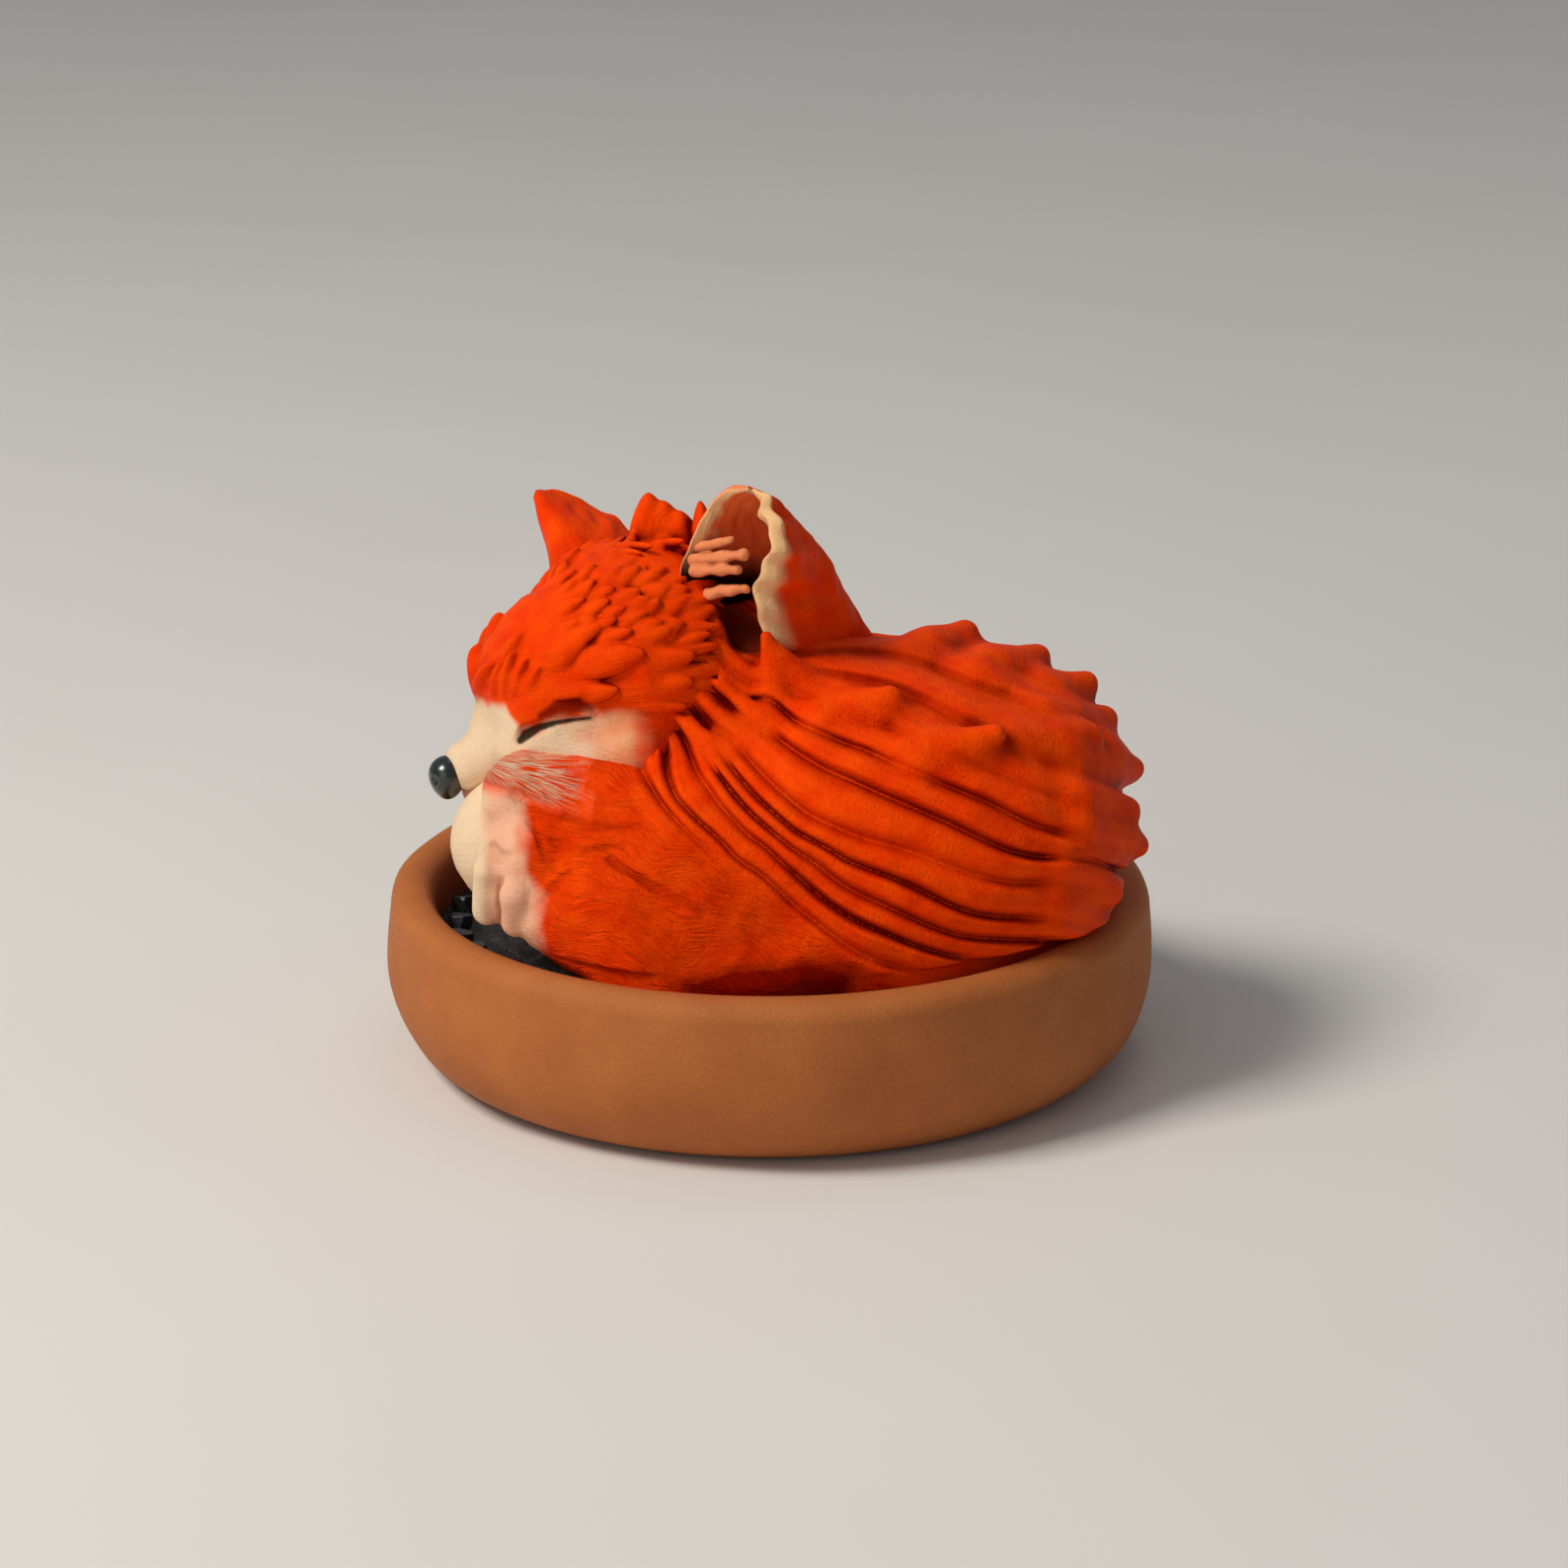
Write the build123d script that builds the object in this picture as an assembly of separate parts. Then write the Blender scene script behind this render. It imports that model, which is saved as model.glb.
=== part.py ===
from build123d import *
import os
from math import acos, atan2, cos, pi, radians, sin, sqrt

os.makedirs("parts", exist_ok=True)

# Lengths in mm. The origin is the centre of the dish's underside, +Z is up,
# and the fox faces -X with its left side toward -Y.

# Dish
dish_radius = 30.0
dish_height = 13.6
foot_radius = 24.4
wide_height = 7.4
lip_radius = 27.9
lip_thick = 3.6
lip_drop = 1.7
well_floor = 4.0
well_radius = lip_radius - lip_thick / 2

# Dark bed poured into the dish, and the stones on it
bed_depth = 5.6
bed_top = well_floor + bed_depth
stone_radius = 1.75
stone_count = 13
stone_from = 126.0
stone_to = 236.0

# Gaps
fit_gap = 0.05
side_gap = 0.5
tail_gap = 0.3

# Torso, measured from its neck end and from the bed it lies on
torso_front = -10.2
torso_side = -4.0
torso_rise = 10.0
torso_length = 37.6
torso_width = 36.6
torso_height = 26.6
torso_sag = 0.9
torso_fullness = 2.35
torso_stations = 11
torso_middle = (torso_front + torso_length / 2, torso_side, bed_top + torso_rise)
belly_radius = 4.2
belly_from = -114.0
belly_to = -30.0
belly_stations = 6

# Creases between the combed locks of the coat
crease_count = 22
crease_crowd = 0.34
crease_depth = 0.9
crease_angle = 4.6
crease_near = 4.5

# Foil core and neck wire inside the clay
core_length = 21.0
core_width = 14.0
wire_radius = 0.8
wire_length = 15.0

# Head
head_front = -11.4
head_side = -3.9
head_rise = 21.6
head_radius = 9.7
head_middle = (head_front, head_side, bed_top + head_rise)
head_turn = 16.0
face_radius = 8.3
muzzle_root = 4.5
muzzle_tip = 2.05
nose_radius = 1.55

# Limbs and tail
leg_radius = 7.9
leg_length = 25.0
far_leg_radius = 6.4
paw_radius = 5.2
toe_radius = 1.3
tail_radius = 4.9
tail_path_radius = well_radius - side_gap - tail_radius - tail_gap
tail_from = 4.0
tail_split = 118.0
tail_to = 158.0

# Ears
ear_wall = 0.9
lining_wall = 0.5
ear_spread = 0.12
near_ear_radius = 6.9
near_ear_height = 12.9
far_ear_radius = 4.9
far_ear_height = 8.2


def blend(a, b, t):
    return tuple(p + (q - p) * t for p, q in zip(a, b))


def shift(a, b):
    return tuple(p + q for p, q in zip(a, b))


def along(start, end):
    # Plane at start whose x axis points to end
    x_axis = Vector(*end) - Vector(*start)
    spare = Vector(0, 0, 1) if abs(x_axis.normalized().Z) < 0.9 else Vector(0, 1, 0)
    return Plane(origin=start, x_dir=x_axis, z_dir=x_axis.cross(spare))


def lock(start, end, start_radius, end_radius):
    # Round-ended cone: a pinched roll of clay
    length = (Vector(*end) - Vector(*start)).length
    lean = (start_radius - end_radius) / length
    rise = sqrt(1 - lean * lean)
    back = (-start_radius, 0)
    tip = (length + end_radius, 0)
    first = (start_radius * lean, start_radius * rise)
    last = (length + end_radius * lean, end_radius * rise)
    half = acos(lean) / 2
    tip_mid = (length + end_radius * cos(half), end_radius * sin(half))
    half = (acos(lean) + pi) / 2
    back_mid = (start_radius * cos(half), start_radius * sin(half))
    outline = [
        ThreePointArc(back, back_mid, first),
        Line(first, last),
        ThreePointArc(last, tip_mid, tip),
        Line(tip, back),
    ]
    return along(start, end) * revolve(make_face(outline), Axis.X)


def egg(middle, toward, half_length, radius):
    # Ellipse turned about its long axis, in two halves that meet at the widest ring
    outline = [
        EllipticalCenterArc((0, 0), half_length, radius, start_angle=0, arc_size=90),
        EllipticalCenterArc((0, 0), half_length, radius, start_angle=90, arc_size=90),
        Line((-half_length, 0), (half_length, 0)),
    ]
    return along(middle, toward) * revolve(make_face(outline), Axis.X)


def fuse(pieces):
    whole = pieces[0]
    for piece in pieces[1:]:
        whole = whole + piece
    return whole


def trim(piece, *others):
    # Seats a piece on its neighbours and drops crumbs left by the cut
    for other in others:
        piece = piece - other
    largest = max(solid.volume for solid in piece.solids())
    kept = [solid for solid in piece.solids() if solid.volume > largest * 0.02]
    return kept[0] if len(kept) == 1 else Compound(kept)


def save(name, shape):
    export_step(shape, f"parts/{name}.step")


# Dish, turned from one outline
lip_base = dish_height - lip_drop
lip_outer = lip_radius + lip_thick / 2
dish_outline = [
    Line((0, 0), (foot_radius, 0)),
    EllipticalCenterArc(
        (foot_radius, wide_height), dish_radius - foot_radius, wide_height, start_angle=-90, arc_size=90
    ),
    Spline((dish_radius, wide_height), (lip_outer, lip_base), tangents=[(0, 1), (-0.12, 1)]),
    ThreePointArc((lip_outer, lip_base), (lip_radius, dish_height), (well_radius, lip_base)),
    Line((well_radius, lip_base), (well_radius, well_floor)),
    Line((well_radius, well_floor), (0, well_floor)),
    Line((0, well_floor), (0, 0)),
]
dish = revolve(Plane.XZ * make_face(dish_outline), Axis.Z)

bed_radius = well_radius - fit_gap
bed = Pos(0, 0, well_floor) * Cylinder(bed_radius, bed_depth, align=(Align.CENTER, Align.CENTER, Align.MIN))

# Space the fox may not enter: the bed, and the dish wall with its gap
below = Pos(0, 0, bed_top) * Box(
    dish_radius * 4, dish_radius * 4, dish_height, align=(Align.CENTER, Align.CENTER, Align.MAX)
)
wall_height = dish_height + side_gap - bed_top
wall_align = (Align.CENTER, Align.CENTER, Align.MIN)
wall = Pos(0, 0, bed_top) * (
    Cylinder(dish_radius * 1.4, wall_height, align=wall_align)
    - Cylinder(well_radius - side_gap, wall_height, align=wall_align)
)

# Torso: ellipses along X that swell and close at the rump
def torso_loft(inset):
    half_length = torso_length / 2 - inset
    stations = []
    for number in range(torso_stations):
        t = -0.86 + 1.84 * sin(pi / 2 * number / (torso_stations - 1))
        swell = (1 - abs(t) ** torso_fullness) ** (1 / torso_fullness)
        centre = shift(torso_middle, (t * half_length, 0, -torso_sag * max(t, 0)))
        section = Plane(origin=centre, x_dir=(0, 1, 0), z_dir=(1, 0, 0))
        half_width = swell * (torso_width / 2 - inset)
        half_height = swell * (torso_height / 2 - inset)
        stations.append(section * Ellipse(half_width, half_height))
    stations.append(Vertex(*shift(torso_middle, (half_length, 0, -torso_sag))))
    return loft(stations)


# The belly settles against the front of the dish and thins out under the foreleg
belly_rings = []
for number in range(belly_stations):
    turn = radians(belly_from + (belly_to - belly_from) * number / (belly_stations - 1))
    radius = belly_radius * (0.4 + 0.6 * sin(pi / 2 * min(1, 1.6 * number / (belly_stations - 1))))
    path = well_radius - side_gap - radius
    spot = (path * cos(turn), path * sin(turn), bed_top + radius)
    level = Plane(origin=spot, x_dir=(0, 0, 1), z_dir=(-sin(turn), cos(turn), 0))
    belly_rings.append(level * Circle(radius))
belly_form = loft(belly_rings)
torso_form = torso_loft(0) + belly_form

# Creases: thin wedges about a line from the neck to the rump, kept to crease_depth
comb_start = Vector(
    *shift(torso_middle, (-torso_length * 0.51, -torso_width * 0.16, torso_height * 0.43))
)
comb_end = Vector(*shift(torso_middle, (torso_length * 0.78, -torso_width * 0.11, -torso_height * 0.42)))
comb_axis = (comb_end - comb_start).normalized()
comb_up = (Vector(0, 0, 1) - comb_axis * comb_axis.Z).normalized()
comb_side = comb_axis.cross(comb_up)
comb_front = atan2(-comb_side.Y, -comb_up.Y)


def crease_turn(number):
    # Locks lie wider apart on the side that faces -Y
    even = 2 * pi * number / crease_count
    turn = even
    for _ in range(40):
        turn = even + crease_crowd * sin(turn - comb_front)
    return turn


crease_reach = torso_width
crease_slope = sin(radians(crease_angle / 2))
comb_length = (comb_end - comb_start).length
torso_core = torso_loft(crease_depth) + belly_form
wedges = []
for number in range(crease_count):
    turn = crease_turn(number)
    way = comb_up * cos(turn) + comb_side * sin(turn)
    if way.Z < -0.6:
        continue
    level = Plane(origin=comb_start + comb_axis * comb_length * 0.12, x_dir=way, z_dir=comb_axis)
    wedge_outline = Polyline(
        (crease_near, -crease_near * crease_slope),
        (crease_reach, -crease_reach * crease_slope),
        (crease_reach, crease_reach * crease_slope),
        (crease_near, crease_near * crease_slope),
        close=True,
    )
    wedges.append(extrude(level * make_face(wedge_outline), comb_length * 0.53))
creases = [wedge - torso_core for wedge in wedges]

core_middle = (torso_middle[0], torso_middle[1], bed_top + core_width * 0.4)
core_end = shift(core_middle, (1, 0, 0))
core = egg(core_middle, core_end, core_length / 2, core_width / 2) - below
core_seat = egg(core_middle, core_end, core_length / 2 + fit_gap, core_width / 2 + fit_gap)

# Head: skull and face, facing head_turn degrees off -X
forward = (-cos(radians(head_turn)), -sin(radians(head_turn)))


def on_head(front, side, rise):
    # Point in shares of head_radius: forward, to the fox's left, and up
    x = front * forward[0] - side * forward[1]
    y = front * forward[1] + side * forward[0]
    return shift(head_middle, (x * head_radius, y * head_radius, rise * head_radius))


def around_head(turn, climb, reach):
    # Point by angle from the face toward the fox's left, and angle up
    level = reach * cos(radians(climb))
    return on_head(level * cos(radians(turn)), level * sin(radians(turn)), reach * sin(radians(climb)))


skull = lock(on_head(-0.05, 0, 0.02), on_head(0.3, 0, -0.1), head_radius, face_radius)
wire_start = on_head(-0.1, 0, -0.1)
wire_aim = (torso_front + wire_length * 1.2, torso_side, bed_top + torso_rise * 1.4)
wire_plane = along(wire_start, wire_aim)
wire_turn = Rotation(0, 90, 0)
wire_align = (Align.CENTER, Align.CENTER, Align.MIN)
wire = wire_plane * wire_turn * Cylinder(wire_radius, wire_length, align=wire_align) - core_seat
wire_seat = wire_plane * wire_turn * Cylinder(
    wire_radius + fit_gap, wire_length + fit_gap, align=wire_align
)
head = trim(skull, wire_seat)
torso = trim(trim(torso_form, skull, below, wall, core_seat, wire_seat) - creases)

neck_start = on_head(-0.35, 0, -0.05)
neck_end = (torso_front + head_radius * 1.47, torso_side, torso_middle[2] + torso_height * 0.2)
neck_form = lock(neck_start, neck_end, head_radius * 0.93, head_radius * 0.86)
neck_core = lock(
    neck_start, neck_end, head_radius * 0.93 - crease_depth, head_radius * 0.86 - crease_depth
)
neck_creases = [wedge - neck_core for wedge in wedges]
neck = trim(trim(neck_form, skull, torso_form, below, wire_seat) - neck_creases)

# Muzzle, nose and lip
muzzle_form = lock(on_head(0.6, 0, -0.43), on_head(1.22, 0, -0.66), muzzle_root, muzzle_tip)
muzzle = trim(muzzle_form, skull)
nose = trim(egg(on_head(1.41, 0, -0.68), on_head(1.41, 1, -0.68), nose_radius * 1.1, nose_radius), muzzle_form)
lip_form = lock(on_head(0.66, 0, -0.8), on_head(1.17, 0, -0.87), nose_radius * 1.25, nose_radius * 0.75)
lip = trim(lip_form, skull, muzzle_form, nose)

# Forelegs lie along the dish under the chin
leg_end = on_head(1.06, 0.94, -1.36)
leg_start = shift(leg_end, (leg_length * 0.98, leg_length * 0.02, -leg_length * 0.04))
leg_middle = blend(leg_end, leg_start, 0.5)
wrist_form = lock(
    on_head(0.94, 0.76, -0.7), on_head(-0.19, 1.14, -1.01), leg_radius * 0.43, leg_radius * 0.71
)
leg_form = egg(leg_middle, leg_end, leg_length / 2, leg_radius) + wrist_form
leg_near = trim(leg_form, torso_form, neck_form, skull, muzzle_form, lip_form, below, wall)

far_leg_end = on_head(0.92, -0.2, -1.35)
far_leg_start = on_head(-0.9, -0.5, -1.5)
far_leg_middle = blend(far_leg_end, far_leg_start, 0.5)
far_leg_form = egg(far_leg_middle, far_leg_end, leg_length * 0.48, far_leg_radius)
leg_far = trim(
    far_leg_form, torso_form, neck_form, leg_form, skull, muzzle_form, lip_form, below, wall
)

paw_at = on_head(0.9, 0.92, -1.2)
paw_form = egg(paw_at, shift(paw_at, (0.25, 0, 1)), paw_radius * 1.08, paw_radius * 0.9)
paw_near = trim(paw_form, leg_form, skull, muzzle_form, lip_form, below, wall)
far_paw_at = on_head(0.96, 0.3, -1.2)
far_paw_form = egg(far_paw_at, shift(far_paw_at, (0.1, 0, 1)), paw_radius, paw_radius * 0.88)
paw_far = trim(
    far_paw_form, leg_form, far_leg_form, paw_form, skull, muzzle_form, lip_form, below, wall
)

toe_forms = []
for number in range(3):
    toe_step = (-2.7 + 1.6 * number, -2.1 - 0.65 * number, 0.1 - 0.6 * number)
    toe_top = shift(paw_at, tuple(toe_radius * step for step in toe_step))
    toe_foot = shift(toe_top, (-toe_radius * 0.15, toe_radius * 0.8, -toe_radius * (2.1 - 0.3 * number)))
    toe_forms.append(lock(toe_top, toe_foot, toe_radius, toe_radius * 0.9))
toes = trim(
    fuse(toe_forms), paw_form, far_paw_form, leg_form, skull, muzzle_form, lip_form, below, wall
)

# Tail: circles along a ring on the far side of the dish
tail_height = bed_top + tail_radius * 0.93


def tail_circle(turn, share):
    spot = (tail_path_radius * cos(radians(turn)), tail_path_radius * sin(radians(turn)), tail_height)
    level = Plane(origin=spot, x_dir=(0, 0, 1), z_dir=(-sin(radians(turn)), cos(radians(turn)), 0))
    return level * Circle(tail_radius * share)


def tail_share(turn):
    t = (turn - tail_from) / (tail_to - tail_from)
    return 0.62 + 0.38 * sin(pi * min(1, t / 0.62) / 2) if t < 0.62 else cos(pi / 2 * ((t - 0.62) / 0.4))


tail_steps = 8
tail_turns = [tail_from + (tail_split - tail_from) * n / (tail_steps - 1) for n in range(tail_steps)]
tail_form = loft([tail_circle(turn, tail_share(turn)) for turn in tail_turns])
tip_steps = 5
tip_turns = [tail_split + (tail_to - tail_split) * n / (tip_steps - 1) for n in range(tip_steps)]
tip_form = loft([tail_circle(turn, tail_share(turn)) for turn in tip_turns])
tail = trim(tail_form, torso_form, skull, neck_form, below, wall)
tail_tip = trim(tip_form, torso_form, skull, far_leg_form, leg_form, far_paw_form, below, wall)


# Ears: cups lofted between a front rim, a back line and a rear rim that meet at the tip
def ear_parts(root, radius, height, rims):
    lines = []
    for rim in rims:
        spots = []
        for front, side, rise in rim:
            x = front * forward[0] - side * forward[1]
            y = front * forward[1] + side * forward[0]
            spots.append(shift(root, (x * radius, y * radius, rise * height)))
        lines.append(Spline(*spots))
    shares = [0, 0.2, 0.4, 0.6, 0.78, 0.92]

    def wall_line(share, reach):
        front, back, rear = (line @ share for line in lines)
        chord = front - rear
        bulge = back - (front + rear) / 2
        move = reach * sqrt(1 - share**2)
        start = front + chord.normalized() * move
        end = rear - chord.normalized() * move
        lift = (bulge + bulge.normalized() * move) * (4 / 3)
        spread = chord * ear_spread
        return Bezier(start, start + lift + spread, end + lift - spread, end)

    def cup(outer_reach, inner_reach):
        sections = []
        for share in shares:
            outer = wall_line(share, outer_reach)
            inner = wall_line(share, inner_reach)
            sections.append(make_face([outer, Line(outer @ 1, inner @ 1), inner, Line(inner @ 0, outer @ 0)]))
        return loft(sections)

    filled = []
    for share in shares:
        outer = wall_line(share, ear_wall / 2)
        filled.append(make_face([outer, Line(outer @ 1, outer @ 0)]))
    shell = cup(ear_wall / 2, -ear_wall / 2)
    lining = cup(-ear_wall / 2 - fit_gap, -ear_wall / 2 - lining_wall)
    return shell, lining, loft(filled), lines


near_ear_root = on_head(-1.02, 0.61, 0.29)
near_ear_rims = [
    [(0.76, -0.04, -0.18), (0.94, -0.13, 0.35), (0.75, -0.22, 0.68), (0.41, -0.03, 0.95), (0.17, 0.11, 0.99)],
    [(-1.67, -0.63, -0.47), (-1.11, -0.59, 0.08), (-0.66, -0.37, 0.49), (-0.08, -0.04, 0.86), (0.17, 0.11, 0.99)],
    [(-0.21, -0.07, -0.38), (0.18, 0.31, 0.18), (0.17, 0.42, 0.61), (0.11, 0.25, 0.9), (0.17, 0.11, 0.99)],
]
near_shell, near_skin, near_ear_form, near_lines = ear_parts(
    near_ear_root, near_ear_radius, near_ear_height, near_ear_rims
)
far_ear_root = on_head(-0.13, -0.83, 0.35)
far_ear_rims = [
    [(0.81, 0.6, 0.18), (0.97, -0.02, 0.63), (0.99, -0.4, 0.89), (1.01, -0.51, 0.98), (1.03, -0.57, 1.03)],
    [(0.32, 1.15, 0.22), (0.57, 0.48, 0.69), (0.83, -0.12, 0.91), (0.95, -0.38, 0.99), (1.03, -0.57, 1.03)],
    [(-0.59, 0.46, 0.18), (-0.34, -0.2, 0.6), (0.42, -0.59, 0.84), (0.75, -0.59, 0.96), (1.03, -0.57, 1.03)],
]
far_shell, far_skin, far_ear_form, far_lines = ear_parts(
    far_ear_root, far_ear_radius, far_ear_height, far_ear_rims
)
ear_near = trim(near_shell, skull, neck_form, torso_form)
lining_near = trim(near_skin, skull, neck_form, torso_form)
ear_far = trim(far_shell, skull, neck_form, torso_form)
lining_far = trim(far_skin, skull, neck_form, torso_form)

near_tuft_forms = []
for number in range(4):
    share = 0.3 + 0.09 * number
    front, back, rear = (tuple(line @ share) for line in near_lines)
    tuft_root = blend(front, back, 0.12)
    tuft_tip = blend(blend(front, rear, 0.62), back, 0.1)
    near_tuft_forms.append(lock(tuft_root, tuft_tip, near_ear_radius * 0.1, near_ear_radius * 0.07))
tufts_near = trim(fuse(near_tuft_forms), near_shell, near_skin, skull, neck_form, torso_form)

crown_forms = [
    lock(on_head(-0.36, -0.25, 0.82), on_head(-0.38, -0.22, 1.31), head_radius * 0.237, head_radius * 0.052),
    lock(on_head(-0.68, 0.0, 0.74), on_head(-0.7, 0.05, 1.26), head_radius * 0.186, head_radius * 0.046),
]
crown = trim(fuse(crown_forms), skull, neck_form, near_ear_form, far_ear_form)


# Face pieces, made once for each side
def face_side(side):
    lid_front = on_head(0.86, 0.54 * side, -0.3)
    lid_middle = on_head(0.66, 0.8 * side, -0.08)
    lid_back = on_head(0.38, 0.93 * side, -0.08)
    lid_radius = head_radius * 0.085
    lid = fuse(
        [
            lock(lid_front, lid_middle, lid_radius * 0.8, lid_radius),
            lock(lid_middle, lid_back, lid_radius, lid_radius * 0.75),
        ]
    )
    brow_front = on_head(0.92, 0.4 * side, 0.08)
    brow_back = on_head(0.32, 0.97 * side, 0.18)
    brow = lock(brow_front, brow_back, head_radius * 0.155, head_radius * 0.124)
    cheek_front = on_head(0.8, 0.56 * side, -0.47)
    cheek_back = on_head(0.06, 1.0 * side, -0.36)
    cheek = lock(cheek_front, cheek_back, head_radius * 0.175, head_radius * 0.237)
    flakes = []
    for row in range(3):
        for column in range(3):
            turn = 58 + 21 * column + 5 * row
            climb = 24 + 15 * row - 4 * column
            start = around_head(turn * side, climb, 0.97)
            end = around_head((turn + 23) * side, climb + 4, 1.06)
            flakes.append(lock(start, end, head_radius * 0.139, head_radius * 0.057))
    return lid, brow, cheek, fuse(flakes)


near_lid, near_brow, near_cheek, near_flakes = face_side(1)
far_lid, far_brow, far_cheek, far_flakes = face_side(-1)
eyelid_near = trim(near_lid, skull, muzzle_form)
eyelid_far = trim(far_lid, skull, muzzle_form)
brow_near = trim(near_brow, skull, muzzle_form, near_lid)
brow_far = trim(far_brow, skull, muzzle_form, far_lid, far_ear_form)
cheek_near = trim(near_cheek, skull, muzzle_form, near_lid, leg_form, torso_form, neck_form)
cheek_far = trim(
    far_cheek, skull, muzzle_form, far_lid, far_leg_form, torso_form, neck_form, far_ear_form
)
crown_form = fuse(crown_forms)
ruff_near = trim(
    near_flakes, skull, neck_form, near_brow, near_lid, near_cheek, near_ear_form, crown_form
)
ruff_far = trim(
    far_flakes, skull, neck_form, far_brow, far_lid, far_cheek, far_ear_form, crown_form
)

# Locks over the neck on the near side
mane_forms = []
for number in range(4):
    start = around_head(100 + 3 * number, 14 - 17 * number, 0.92)
    step = (0.7 - 0.05 * number, -0.11 - 0.08 * number, 0.11 - 0.15 * number)
    end = shift(start, tuple(head_radius * part for part in step))
    mane_forms.append(lock(start, end, head_radius * 0.216, head_radius * 0.057))
mane = trim(
    fuse(mane_forms), skull, neck_form, torso_form, leg_form, near_cheek, near_flakes, near_ear_form
)

# Raised lock ends along the back and round the rump
def torso_spot(angle, depth, lift):
    hug = sqrt(1 - (2 * depth / torso_width) ** 2)
    across = abs(2 * cos(angle) / torso_length) ** torso_fullness
    upward = abs(2 * sin(angle) / torso_height) ** torso_fullness
    reach = lift * hug / (across + upward) ** (1 / torso_fullness)
    return shift(torso_middle, (reach * cos(angle), depth, reach * sin(angle)))


# Turn about the torso's middle and depth as a share of its width, for each tip
lock_tips = [
    (87, -0.23), (51, -0.32), (27, -0.13), (63, 0.18), (42, 0.15), (22, 0.08), (10, 0.0),
    (-3, -0.14), (-11, -0.27), (60, 0.34), (40, 0.31), (22, 0.26), (4, 0.19),
]
back_lock_forms = []
for turn, depth in lock_tips:
    start = torso_spot(radians(turn + 15), torso_width * (0.6 * depth - 0.144), 0.93)
    end = torso_spot(radians(turn), torso_width * depth, 1.05)
    form = lock(start, end, torso_height * 0.068, torso_height * 0.038)
    back_lock_forms += trim(form, torso_form, tail_form, below, wall).solids()
back_locks = Compound(back_lock_forms)

# Stones in the open part of the bed
stone_ring = bed_radius - stone_radius - fit_gap
stones = []
for number in range(stone_count):
    turn = radians(stone_from + (stone_to - stone_from) * number / (stone_count - 1))
    size = stone_radius * (0.82 + 0.18 * cos(2.4 * number))
    spot = (stone_ring * cos(turn), stone_ring * sin(turn), bed_top + size * 0.2)
    stones.append(egg(spot, shift(spot, (-sin(turn), cos(turn), 0)), size, size * 0.72) - bed)
bed_stones = Compound([solid for stone in stones for solid in stone.solids()])

save("dish", dish)
save("bed", bed)
save("bed_stones", bed_stones)
save("torso", torso)
save("foil_core", core)
save("neck_wire", wire)
save("neck", neck)
save("head", head)
save("muzzle", muzzle)
save("nose", nose)
save("lip", lip)
save("foreleg_near", leg_near)
save("foreleg_far", leg_far)
save("paw_near", paw_near)
save("paw_far", paw_far)
save("toes", toes)
save("tail", tail)
save("tail_tip", tail_tip)
save("ear_near", ear_near)
save("ear_far", ear_far)
save("ear_lining_near", lining_near)
save("ear_lining_far", lining_far)
save("ear_tufts", tufts_near)
save("crown_tuft", crown)
save("eyelid_near", eyelid_near)
save("eyelid_far", eyelid_far)
save("brow_near", brow_near)
save("brow_far", brow_far)
save("cheek_near", cheek_near)
save("cheek_far", cheek_far)
save("ruff_near", ruff_near)
save("ruff_far", ruff_far)
save("mane", mane)
save("back_locks", back_locks)
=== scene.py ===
import math
import bpy
import numpy as np
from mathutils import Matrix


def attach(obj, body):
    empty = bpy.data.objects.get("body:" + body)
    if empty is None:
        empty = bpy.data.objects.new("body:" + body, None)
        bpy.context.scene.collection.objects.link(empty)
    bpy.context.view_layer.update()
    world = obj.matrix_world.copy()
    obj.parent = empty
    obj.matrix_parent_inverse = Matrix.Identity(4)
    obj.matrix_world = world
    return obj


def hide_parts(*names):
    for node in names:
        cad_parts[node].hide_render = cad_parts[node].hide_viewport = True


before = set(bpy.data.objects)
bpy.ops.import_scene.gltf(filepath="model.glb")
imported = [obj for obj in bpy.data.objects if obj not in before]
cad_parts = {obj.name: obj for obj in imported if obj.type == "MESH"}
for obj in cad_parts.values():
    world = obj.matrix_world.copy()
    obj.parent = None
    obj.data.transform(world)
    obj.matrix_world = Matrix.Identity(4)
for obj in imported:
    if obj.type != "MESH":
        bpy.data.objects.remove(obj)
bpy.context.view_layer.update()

import openvdb

print("frame loaded:", len(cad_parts), "CAD nodes")

# Pieces are worked out in millimetres and go to metres in makePiece; u and v are picture points.
# Camera, as it stood for the picture, and the stretch of a line of sight that is searched
shot = {
    "across": 1588, "fieldOfView": 18.0, "tilt": 17.83, "stand": (1.15, -366.37, 138.83),
    "lookFrom": 320.0, "lookReach": 120.0, "lookSteps": 2400,
}
tilt = math.radians(shot["tilt"])
aim = np.array([0, math.cos(tilt), -math.sin(tilt)])
rise = np.array([0, math.sin(tilt), math.cos(tilt)])
stand = np.array(shot["stand"])
middle = shot["across"] / 2
focal = middle / math.tan(math.radians(shot["fieldOfView"] / 2))


def sightLine(u, v):
    way = aim + np.array([1.0, 0, 0]) * (u - middle) / focal - rise * (v - middle) / focal
    return way / np.linalg.norm(way)


def atDepth(u, v, y):
    way = sightLine(u, v)
    return stand + way * (y - stand[1]) / way[1]


def seenAt(points):
    ways = np.asarray(points) - stand
    depth = ways @ aim
    return middle + focal * ways[:, 0] / depth, middle - focal * (ways @ rise) / depth


def unit(way):
    return np.asarray(way, float) / np.linalg.norm(way)


def slopeOf(form, spot, step=0.05):
    ends = np.array([spot + step * side * axis for axis in np.eye(3) for side in (1, -1)])
    d = form(*ends.T)
    return unit([d[0] - d[1], d[2] - d[3], d[4] - d[5]])


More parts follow.
